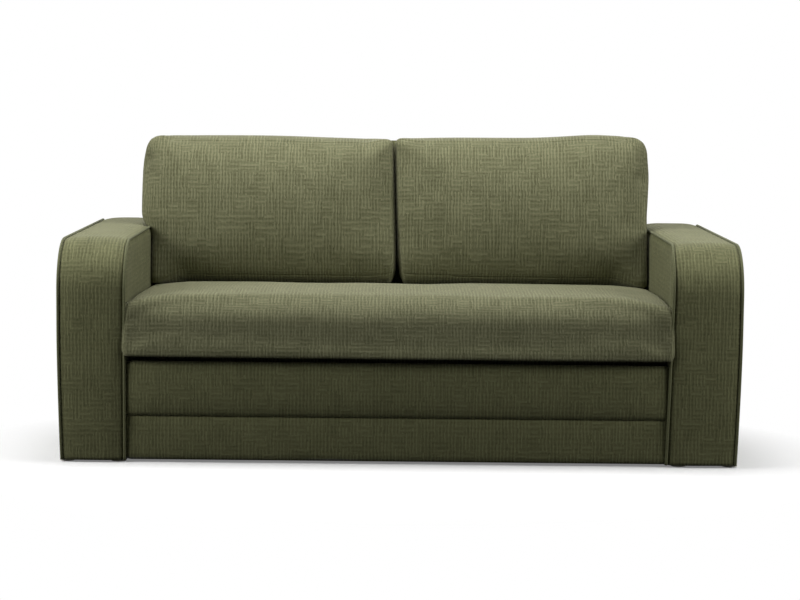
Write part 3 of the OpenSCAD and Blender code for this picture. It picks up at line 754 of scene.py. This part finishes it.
def arm_band(side, sign):
    bm = bmesh.new()
    half = (SEAM_OUT - SEAM_IN) / 2 - WELT_R + BAND_UNDER_WELT
    middle = (SEAM_OUT + SEAM_IN) / 2
    flat = half - BAND_EDGE
    offsets = [flat * (-1 + 2 * i / BAND_CELLS) for i in range(BAND_CELLS + 1)]
    offsets = ([-half, -half + BAND_EDGE * 0.12, -half + BAND_EDGE * 0.45] + offsets
               + [half - BAND_EDGE * 0.45, half - BAND_EDGE * 0.12, half])
    section = []
    for offset in offsets:
        near = clamped((abs(offset) - flat) / BAND_EDGE)
        proud = BAND_CROWN * (1 - (offset / half) ** 4) - GROOVE * (1 - math.sqrt(1 - near * near))
        section.append((middle + offset, FRONT_Y - proud, ARM_BASE))
    section += [(middle + half, FRONT_Y + BAND_T, ARM_BASE),
                (middle - half, FRONT_Y + BAND_T, ARM_BASE)]
    first = ring_of(bm, section)
    last = carry_round_arm(bm, first)
    cap(bm, first, last)
    for vert in bm.verts:
        inside = FRONT_Y + BAND_T - 1 * MM
        t = (vert.co.x - middle) / half
        if abs(t) < 0.9:
            soft = unevenness(vert.co + Vector((sign, 0, 0)), BAND_DRIFT) * (1 - t * t)
            outward = (vert.co - ARM_HEART) * Vector((0, 1, 1))
            if vert.co.y < inside or vert.co.z > ARM_TOP - BAND_T + MM:
                vert.co += outward.normalized() * soft
    finish_foot(bm, sign)
    map_cloth(bm, lambda face, co: (co.x, along_arm(co) + 0.3 * sign))
    return dress(f"{side}_arm_padded_band", bm, cover_cloth, "base",
                 [f"{side}_arm_band"])


# %% Arm side pads
PAD_CELLS = (1, 48, 30)
PAD_EDGE = 13 * MM
# The drift of a side pad is a share of how far the pad stands out
PAD_DRIFT = (0.16, 0.12)


def depth_in_arm(co):
    """How far a point of the arm's side lies inside its outline, which ends square at the foot."""
    for centre, radius, toward in ((front_centre, CORNER_R, -1), (rear_centre, REAR_R, 1)):
        out_y, out_z = (co.y - centre.y) * toward, co.z - centre.z
        if out_y > 0 and out_z > 0:
            return radius - math.hypot(out_y, out_z)
    return min(co.y - FRONT_Y, REAR_Y - co.y, ARM_TOP - co.z)


def round_top_corners(bm):
    """Draws the two square top corners into the arm's quarter circles."""
    for vert in bm.verts:
        for centre, toward in ((front_centre, -1), (rear_centre, 1)):
            out_y, out_z = (vert.co.y - centre.y) * toward, vert.co.z - centre.z
            if out_y > 0 and out_z > 0:
                squeeze = max(out_y, out_z) / math.hypot(out_y, out_z)
                vert.co.y = centre.y + toward * out_y * squeeze
                vert.co.z = centre.z + out_z * squeeze


def arm_side_pad(side, sign, which):
    """A thin pad: a plate of even cells with round top corners and a soft, raised face."""
    inner = which == "inner"
    seam = SEAM_IN if inner else SEAM_OUT
    face_x = INNER_X if inner else OUTER_X
    proud = face_x - seam
    inside = seam - proud
    bm = celled_box((min(inside, face_x), FRONT_Y, ARM_BASE),
                    (max(inside, face_x), REAR_Y, ARM_TOP), PAD_CELLS)
    round_top_corners(bm)
    map_cloth(bm, lambda face, co: (co.y + 0.5 * sign, co.z + (0.2 if inner else 0.9)))
    for vert in bm.verts:
        if abs(vert.co.x - face_x) < abs(proud):
            near = max(0.0, 1 - depth_in_arm(vert.co) / PAD_EDGE)
            soft = unevenness(vert.co * sign, PAD_DRIFT) * (1 - near)
            vert.co.x = seam + proud * (math.sqrt(max(0.0, 1 - near * near)) + soft)
    finish_foot(bm, sign)
    # The sides wear the darker copy of the cloth, which is painted shade
    return dress(f"{side}_arm_{which}_side", bm, shaded_side_cloth, "base",
                 [f"{side}_arm_{which}_pad"])


# %% Arm piping
WELT_SIDES = 10


def arm_piping(side, sign):
    bm = bmesh.new()
    for seam in (SEAM_IN, SEAM_OUT):
        circle = arc((seam, FRONT_Y - 1 * MM), WELT_R, 0, 360, WELT_SIDES)[:-1]
        first = ring_of(bm, [(x, y, ARM_BASE) for x, y in circle])
        last = carry_round_arm(bm, first)
        cap(bm, first, last)
    finish_foot(bm, sign)
    map_cloth(bm, lambda face, co: (co.x + co.y * 0.3, along_arm(co)))
    return dress(f"{side}_arm_welts", bm, piping_cloth, "base",
                 [f"{side}_arm_piping"])


for side, sign in (("left", -1), ("right", 1)):
    arm_band(side, sign)
    arm_side_pad(side, sign, "inner")
    arm_side_pad(side, sign, "outer")
    arm_piping(side, sign)

# %% [markdown]
# ## The front panel and the outer back
# Under the seat a padded panel sits over a flatter rail, with a seam between them. Both are
# foam glued to a board, so they bulge only a little and their backs stay flat.
# The outer back is a board wrapped in foam and cloth, front, top and rear.

# %% Front pads
upper_low, upper_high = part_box("upper_front_pad")
lower_low, lower_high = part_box("lower_front_pad")
GAP_Z = 270 * MM
PAD_CELL = 12 * MM
TOP_EDGE = 14 * MM
LOW_EDGE_Z = 60 * MM
PANEL_DRIFT = (0.13, 1.5 * MM)
PANEL_LEFT = -INNER_X - 5 * MM
PANEL_RIGHT = INNER_X - 4 * MM


def front_pad(name, low, high, radii, proud, node):
    bm = soft_block(low, high, PAD_CELL, radii, shift=(0.07, low[2]))
    low, high = Vector(low), Vector(high)
    middle, half = (low + high) / 2, (high - low) / 2
    for vert in bm.verts:
        if vert.co.y < low.y + half.y:
            x = (vert.co.x - middle.x) / half.x
            z = (vert.co.z - middle.z) / half.z
            bulge = proud * (1 - x ** 20) * (1 - abs(z) ** 2.6)
            vert.co.y -= max(0.0, bulge) + unevenness(vert.co, PANEL_DRIFT)
    return dress(name, bm, cover_cloth, "base", [node])


front_pad("upper_front_panel",
          (PANEL_LEFT, upper_low.y + 2 * MM, upper_low.z),
          (PANEL_RIGHT, upper_high.y, GAP_Z),
          lambda co: ((6 * MM, 6 * MM), ((12 if co.z > GAP_Z - TOP_EDGE else 5) * MM, 3 * MM),
                      (3 * MM, 11 * MM)), 8 * MM,
          "upper_front_pad")
front_pad("lower_front_panel",
          (PANEL_LEFT, lower_low.y + 2 * MM, lower_low.z - 8 * MM),
          (PANEL_RIGHT, lower_high.y, upper_low.z + 1.5 * MM),
          lambda co: ((5 * MM, 5 * MM), ((4 if co.z > LOW_EDGE_Z else 9) * MM, 2 * MM),
                      (12 * MM, 3 * MM)), 2.5 * MM,
          "lower_front_pad")

# %% Outer back
back_low, back_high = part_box("outer_back_cover")
core_low, core_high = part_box("outer_back_board")
BACK_EDGE_R = 12 * MM


def outer_back():
    """The cloth's cross-section with its two rounded edges, carried across the sofa."""
    bm = bmesh.new()
    outer = [(back_low.y, back_low.z)]
    for y, start in ((back_low.y + BACK_EDGE_R, 180), (back_high.y - BACK_EDGE_R, 90)):
        outer += arc((y, back_high.z - BACK_EDGE_R), BACK_EDGE_R, start, -90, 6)
    outer.append((back_high.y, back_low.z))
    inner = [(core_high.y, back_low.z), (core_high.y, core_high.z),
             (core_low.y, core_high.z), (core_low.y, back_low.z)]
    first = ring_of(bm, [(back_low.x, y, z) for y, z in outer + inner])
    cap(bm, first, run(bm, first, (back_high.x - back_low.x, 0, 0), 48))

    def cloth(face, co):
        if abs(face.normal.z) > 0.7:
            return (co.x, co.y + back_high.z)
        return (co.x, co.z if face.normal.y > 0 else 2 * back_high.z - co.z)

    bm.normal_update()
    map_cloth(bm, cloth)
    return dress("outer_back_upholstery", bm, cover_cloth, "base",
                 ["outer_back_cover"], smooth=0)


outer_back()

# %% [markdown]
# ## The seat cushion
# One cushion as wide as the seat, with a high-density foam core under a fibre wrap. Its cloth
# runs over the top and down the rounded front edge in one piece. It lies on the deck, its front
# edge bulges a little past the arms, and its underside lifts in front and runs on level, so
# that a dark line shows above the panel.

# %% Seat cushion
seat_low, seat_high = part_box("seat_cushion")
SEAT_CELL = 14 * MM
NOSE_LIFT = 28 * MM
NOSE_START = -395 * MM
NOSE_PROUD = 5 * MM
SEAT_HALF = INNER_X - 1 * MM
NOSE_SPREAD_LEFT = 15 * MM
NOSE_SPREAD_RIGHT = 7 * MM
CROWN = 13 * MM
ROOM_FOR_CROWN = 14 * MM
REAR_DROP = 20 * MM
BELLY = 9 * MM
TOP_LEANS_BACK = 10 * MM
TOP_DRIFT = (0.22, 4 * MM)
NOSE_DRIFT = (0.17, 3 * MM)


def seat_cushion():
    low = (-SEAT_HALF, seat_low.y - NOSE_PROUD, seat_low.z)
    high = (SEAT_HALF, seat_high.y, seat_high.z - ROOM_FOR_CROWN)

    def radii(co):
        nose = eased((NOSE_START + 30 * MM - co.y) / (60 * MM))
        inward = eased((SEAT_HALF - abs(co.x)) / (110 * MM))
        upper = eased((co.z - low[2]) / (high[2] - low[2]) * 2 - 0.5)
        corner = (8 + 20 * nose) * MM
        top = (14 + (24 + 22 * inward) * nose) * MM
        front = (14 + (6 + 36 * inward) * upper) * MM
        return ((corner, corner), (front, 24 * MM), (2 * MM, top))

    bm = soft_block(low, high, SEAT_CELL, radii, shift=(0.013, 0.4))
    # The lower edge stays crisp, so that the dark line under it is sharp
    firm_foot(bm, low[2])
    depth = high[1] - low[1]
    for vert in bm.verts:
        co = vert.co
        x = co.x / SEAT_HALF
        back = (co.y - low[1]) / depth
        up = (co.z - low[2]) / (high[2] - low[2])
        ahead = max(0.0, (NOSE_START - co.y) / (NOSE_START - low[1]))
        co.z += NOSE_LIFT * eased(2.2 * ahead) * (1 - up)
        crown = CROWN * (1 - x ** 12) * math.sin(math.pi * min(1.0, 0.16 + 0.78 * back))
        co.z += crown * max(0.0, up - 0.5) * 2
        rear_drop = REAR_DROP * (1 - 0.4 * x ** 10)
        co.z -= rear_drop * max(0.0, back - 0.45) / 0.55 * max(0.0, up - 0.5) * 2
        co.z += unevenness(co, TOP_DRIFT) * max(0.0, up - 0.5) * 2
        if ahead > 0:
            belly = math.sin(math.pi * (0.1 + 0.9 * clamped(up)) ** 0.5)
            co.y -= BELLY * belly * ahead * (1 - x ** 12) + unevenness(co, NOSE_DRIFT)
            co.y += TOP_LEANS_BACK * up * ahead
            spread = NOSE_SPREAD_LEFT if x < 0 else NOSE_SPREAD_RIGHT
            co.x += spread * x ** 5 * eased(1.7 * ahead)
    piece = dress("seat_cushion_cover", bm, cushion_cloth, "seat_section",
                  ["seat_cushion"])

    def held(co):
        if co.z < low[2] + (NOSE_LIFT + 6 * MM if co.y < NOSE_START else 6 * MM):
            return 1.0
        side = abs(co.x) > SEAT_HALF - 16 * MM and co.y > FRONT_Y + 6 * MM
        return 0.9 if side or co.y > high[1] - 8 * MM else 0.0

    inflate(piece, held)
    return piece


seat_cushion()

# %% [markdown]
# ## The back cushions
# Two plump boxed cushions lean on the foot third of the folded bed. They are made upright
# along the slope of the back and then tilted with it. The outer top corners are round, the
# corners at the middle are tight, and the left one laps over its arm, as in the photograph.
# Low down the front curves back under the cushion, so it darkens towards the seat. A seam runs
# all round the front panel.

# %% Back cushions
hinge = Vector(joints["back_unfold"]["pos_m"])
LEAN = math.radians(8)
SLOPE = Matrix.Translation(hinge) @ Matrix.Rotation(-LEAN, 4, "X")
FACE_BACK = -13 * MM
CUSHION_EDGE_T = 148 * MM
PLUMP = 34 * MM
CUSHION_FOOT = 223 * MM
CUSHION_TOP = 611 * MM
MIDDLE_GAP = 1 * MM
BACK_CELL = 12 * MM
SEAT_CONTACT_Z = 415 * MM
# Both cushions have slid to the left, and lean that way
SLIDE_FOOT = -8 * MM
SLIDE_TOP = -21 * MM
SEAM_DEPTH = 3 * MM
EDGE_CROWN = 3 * MM
FACE_DRIFT = (0.16, 4 * MM)
EDGE_DRIFT = (0.2, 2 * MM)


def sewn_edge(piece, level):
    """The seam round the front panel: a narrow groove in a plane parallel to the panel."""
    bm = bmesh.new()
    bm.from_mesh(piece.data)
    normal = SLOPE.to_3x3() @ Vector((0, 1, 0))
    for offset in (-3.5 * MM, 3.5 * MM, 0):
        point = SLOPE @ Vector((0, level + offset, 0))
        cut = bmesh.ops.bisect_plane(bm, geom=bm.verts[:] + bm.edges[:] + bm.faces[:],
                                     plane_co=point, plane_no=normal, dist=1e-6)
    bm.normal_update()
    seam = [item for item in cut["geom_cut"] if isinstance(item, bmesh.types.BMVert)]
    pulled = [(vert, vert.normal.copy()) for vert in seam]
    for vert, outward in pulled:
        vert.co -= outward * SEAM_DEPTH
    bm.to_mesh(piece.data)
    bm.free()
    piece.data.polygons.foreach_set("use_smooth", [True] * len(piece.data.polygons))


def back_cushion(side, sign, beside_arm, lap, top_line):
    """beside_arm is where the cushion's side stands at its foot, lap how far it widens above.

    top_line(share) lifts the top, from the middle of the sofa at 0 to the arm at 1.
    """
    inner, outer = MIDDLE_GAP, INNER_X - 6 * MM
    low = Vector((inner, FACE_BACK - CUSHION_EDGE_T, CUSHION_FOOT))
    high = Vector((outer, FACE_BACK, CUSHION_TOP - 1 * MM))
    span = high - low
    wedge = (hinge.z + low.z * math.cos(LEAN) - SEAT_CONTACT_Z) / math.cos(LEAN)

    def radii(co):
        away = (co.x - inner) / span.x
        rise = (co.z - low.z) / span.z
        corner = between(5, 44, rise / 0.4) * MM
        under = between(74, 8, (away - 0.86) / 0.12) * MM
        front = between(76, 42, rise / 0.5) * between(1, 0.4, (away - 0.84) / 0.16) * MM
        level = eased(away / 0.12) * eased((1 - away) / 0.16)
        front += 20 * level * eased(rise / 0.5) * MM
        top = (22 + 24 * away + 30 * level) * MM
        return ((20 * MM, corner), (front, 18 * MM), (under, top))

    bm = soft_block(low, high, BACK_CELL, radii, shift=(0.21 if sign > 0 else 0.55, 0.1))
    over_arm = (ARM_TOP - hinge.z) / math.cos(LEAN)
    shifted = {}
    for vert in bm.verts:
        co = vert.co
        x = (co.x - inner) / span.x * 2 - 1
        z = (co.z - low.z) / span.z * 2 - 1
        ahead = max(0.0, (high.y - co.y) / span.y - 0.4) / 0.6
        plump = PLUMP * (1 - abs(x) ** 5) * max(0.0, 1 - z * z)
        co.y -= ahead * (plump + unevenness(co + Vector((sign, 0, 0)), FACE_DRIFT))
        if z > 0.8:
            co.z += EDGE_CROWN * (1 - x ** 4) + unevenness(co + Vector((3, sign, 0)), EDGE_DRIFT)
        co.z += top_line((x + 1) / 2) * eased((z + 0.2) / 1.1)
        # The foot settles on the seat, deeper in front, where the lean has lifted it
        settle = max(0.0, -z) ** 2
        co.z -= settle * (wedge + math.tan(LEAN) * (high.y - co.y))
        # The whole width is stretched between the middle gap and the arm, and wider above the arm
        share = (x + 1) / 2
        rise = clamped((co.z - low.z) / span.z)
        slid = SLIDE_FOOT + (SLIDE_TOP - SLIDE_FOOT) * rise
        lapped = eased((co.z - over_arm + 55 * MM) / (75 * MM))
        side_x = beside_arm + lap * lapped * (1 - 0.34 * eased((co.z - over_arm) / (230 * MM)))
        flat_x = co.x
        co.x = (inner + sign * slid) * (1 - share) + side_x * share
        shifted[vert] = co.x - flat_x
    # The ribs stay upright where the cushion widens
    bm.normal_update()
    layer = bm.loops.layers.uv["weave"]
    for face in bm.faces:
        if abs(face.normal.x) < 0.7:
            for loop in face.loops:
                loop[layer].uv.x += shifted[loop.vert]
    bmesh.ops.scale(bm, vec=(sign, 1, 1), verts=bm.verts)
    bmesh.ops.transform(bm, matrix=SLOPE, verts=bm.verts)
    piece = dress(f"{side}_back_cushion_cover", bm, cushion_cloth, "back_section",
                  [f"back_cushion_{side}"])
    upright = SLOPE.inverted()

    def held(co):
        flat = upright @ co
        if flat.y > FACE_BACK - 8 * MM or flat.z < CUSHION_FOOT + 8 * MM:
            return 1.0
        near_arm = 1 - eased((flat.z - over_arm) / (60 * MM))
        beside = abs(flat.x) > beside_arm - 14 * MM
        return 0.9 * near_arm if beside else 0.9 if abs(flat.x + 14 * MM) < 14 * MM else 0.0

    inflate(piece, held)
    sewn_edge(piece, low.y + 18 * MM)
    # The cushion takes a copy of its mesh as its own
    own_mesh(piece)
    return piece


back_cushion("left", -1, 716 * MM, 30 * MM, lambda share: -5 * MM * eased(1.1 - 1.6 * share))
back_cushion("right", 1, 712 * MM, -2 * MM,
             lambda share: 14 * MM * math.exp(-((share - 0.81) / 0.17) ** 2) - 1 * MM)

# %% [markdown]
# ## The mattress
# The folded mattress is one ticking cover over foam in three lengths. Each length is a soft
# block with small edge radii. They lie flat in the folded bed, so the blocks keep to their
# frames and only their edges are rounded.

# %% Mattress lengths
TICKING_CELL = 27 * MM
EDGE_R = 16 * MM
MATTRESS_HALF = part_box("head_mattress")[1].x
BACK_LENGTH = CUSHION_TOP
MATTRESS_FRONT = 10 * MM
MATTRESS_REAR = 91 * MM
FOOT_END = 12 * MM


def mattress(name, node, body, slope=None):
    if slope is None:
        low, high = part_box(node)
    else:
        low = Vector((-MATTRESS_HALF, MATTRESS_FRONT, FOOT_END))
        high = Vector((MATTRESS_HALF, MATTRESS_REAR, BACK_LENGTH))
    clear = Vector((0.6 * MM,) * 3)
    bm = soft_block(low + clear, high - clear, TICKING_CELL, even_edges(EDGE_R))
    if slope is not None:
        bmesh.ops.transform(bm, matrix=slope, verts=bm.verts)
    return dress(name, bm, ticking, body, [node])


mattress("head_mattress_length", "head_mattress", "head_section")
mattress("middle_mattress_length", "middle_mattress", "seat_section")
mattress("foot_mattress_length", "foot_mattress", "back_section", SLOPE)

# %% [markdown]
# ## Lining, foot pocket and pull strap
# The backs of the cushions lie against a lining stretched over the steel frame. The foot end of
# the mattress sits in a cloth pocket, and a loop of the same cloth on it is what the hand pulls
# to open the bed. All three are flat cloth, made along the slope of the back.

# %% Small textile parts
PLY = 2.5 * MM
POCKET_PLY = 3 * MM
POCKET_LENGTH = 300 * MM
LINING_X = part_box("back_lining")[1].x
STRAP_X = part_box("pull_strap")[1].x
BACK_FRAME_L = (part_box("back_cushion_left")[1].z - hinge.z) / math.cos(LEAN) - 20 * MM
TUBE_FRONT = -10 * MM
HANDLE_DROP = 0.33
HANDLE_H = 34 * MM
HANDLE_BOW = 25 * MM
HANDLE_SEWN = 34 * MM
STRAP_PLY = 3 * MM
STRAP_EDGE_R = 1.4 * MM


def dress_on_slope(name, bm, node, smooth=1):
    bmesh.ops.transform(bm, matrix=SLOPE, verts=bm.verts)
    return dress(name, bm, cover_cloth, "back_section", [node], smooth=smooth)


def back_lining():
    bm = soft_block((-LINING_X, TUBE_FRONT - PLY, FOOT_END), (LINING_X, TUBE_FRONT, BACK_FRAME_L),
                    34 * MM, even_edges(PLY / 2))
    return dress_on_slope("back_lining_cloth", bm, "back_lining")


def foot_pocket():
    """An L of cloth, over the end of the mattress and down its back, with a rounded fold."""
    bm = bmesh.new()
    rear, top, fold = MATTRESS_REAR + POCKET_PLY, BACK_FRAME_L + POCKET_PLY, 8 * MM
    outer = [(TUBE_FRONT, top), *arc((rear - fold, top - fold), fold, 90, -90, 5),
             (rear, BACK_FRAME_L - POCKET_LENGTH)]
    inner = [(MATTRESS_REAR, BACK_FRAME_L - POCKET_LENGTH), (MATTRESS_REAR, BACK_FRAME_L),
             (TUBE_FRONT, BACK_FRAME_L)]
    first = ring_of(bm, [(-LINING_X, y, z) for y, z in outer + inner])
    cap(bm, first, run(bm, first, (2 * LINING_X, 0, 0), 40))
    map_cloth(bm, lambda face, co: (co.x, co.y + co.z))
    return dress_on_slope("foot_pocket_cloth", bm, "foot_pocket", smooth=0)


def pull_strap():
    """A strip of doubled cloth, sewn down at both ends and bowed out between them."""
    start = MATTRESS_REAR + POCKET_PLY
    z_low = BACK_FRAME_L - POCKET_LENGTH * HANDLE_DROP
    bm = soft_block((-STRAP_X, start, z_low), (STRAP_X, start + STRAP_PLY, z_low + HANDLE_H),
                    7 * MM, even_edges(STRAP_EDGE_R))
    for vert in bm.verts:
        vert.co.y += HANDLE_BOW * eased((STRAP_X - abs(vert.co.x)) / HANDLE_SEWN)
    return dress_on_slope("pull_strap_loop", bm, "pull_strap")


back_lining()
foot_pocket()
pull_strap()

# %% [markdown]
# ## The studio
# A pale floor that catches a soft shadow, a large softbox overhead that makes the tops of the
# cushions the brightest part, softboxes on both sides, one behind, which lifts the tops of the
# arms and shows the back, and an even white background.
# The floor shows white to the camera but sends little light back up, because in the photograph
# the lower front stays dark.

# %% Floor and lights
FLOOR_HALF = 14.0
FADE_START = 0.74
FADE_END = 0.98
LEAST_GLOW = 0.2


def seen_directly(tree):
    """1 for what the camera sees, also in gloss or glass, and 0 for light that is scattered."""
    ray = add(tree, "ShaderNodeLightPath", {}).outputs
    either = add(tree, "ShaderNodeMath", {0: ray["Is Camera Ray"], 1: ray["Is Glossy Ray"]},
                 operation="MAXIMUM")
    return add(tree, "ShaderNodeMath", {0: either, 1: ray["Is Transmission Ray"]},
               operation="MAXIMUM")


def studio_floor():
    bm = bmesh.new()
    bmesh.ops.create_grid(bm, x_segments=1, y_segments=1, size=FLOOR_HALF)
    mesh = bpy.data.meshes.new("studio_floor")
    bm.to_mesh(mesh)
    bm.free()
    material, tree = new_material("pale_studio_floor")
    direct = seen_directly(tree)
    seen = add(tree, "ShaderNodeMix", {0: direct, 6: rgb("#1e1e1d"), 7: rgb("#ffffff")},
               data_type="RGBA")
    near = add(tree, "ShaderNodeBsdfDiffuse", {"Color": seen.outputs[2]})
    glow = add(tree, "ShaderNodeEmission", {"Color": (1, 1, 1, 1), "Strength": direct})
    where = add(tree, "ShaderNodeTexCoord", {}).outputs["Object"]
    oval = add(tree, "ShaderNodeMapping",
               {"Vector": where, "Location": (0, 0.3, 0), "Scale": (0.78, 1.0, 1.0)})
    distance = add(tree, "ShaderNodeVectorMath", {0: oval}, operation="LENGTH")
    far = add(tree, "ShaderNodeMapRange",
              {0: distance.outputs["Value"], 1: FADE_START, 2: FADE_END, 3: LEAST_GLOW})
    shader = add(tree, "ShaderNodeMixShader", {0: far, 1: near, 2: glow})
    finish_material(tree, shader)
    mesh.materials.append(material)
    floor = add_object("studio_floor", mesh)


def softbox(name, place, target, size, watts):
    light = bpy.data.lights.new(name, "AREA")
    light.shape = "RECTANGLE"
    light.size, light.size_y = size
    light.energy = watts
    lamp = add_object(name, light)
    lamp.location = place
    direction = Vector(target) - Vector(place)
    lamp.rotation_euler = direction.to_track_quat("-Z", "Y").to_euler()


studio_floor()
softbox("overhead_softbox", (0, -0.2, 2.2), (0, -0.1, 0), (2.6, 0.8), 43)
softbox("high_left_softbox", (-2.6, -1.0, 2.2), (0, 0, 0.4), (1.6, 1.6), 15)
softbox("left_softbox", (-2.4, -1.2, 1.4), (0, 0, 0.5), (1.2, 1.2), 37)
softbox("right_softbox", (2.4, -1.2, 1.4), (0, 0, 0.5), (1.2, 1.2), 34)
softbox("rear_softbox", (0, 2.6, 1.9), (0, 0.3, 0.5), (2.4, 1.2), 18)

world = bpy.data.worlds.new("studio_world")
scene.world = world
world.use_nodes = True
world.node_tree.nodes.clear()
backdrop = add(world.node_tree, "ShaderNodeBackground",
               {"Color": (1, 1, 1, 1), "Strength": seen_directly(world.node_tree)})
add(world.node_tree, "ShaderNodeOutputWorld", {"Surface": backdrop})
print("studio ready")
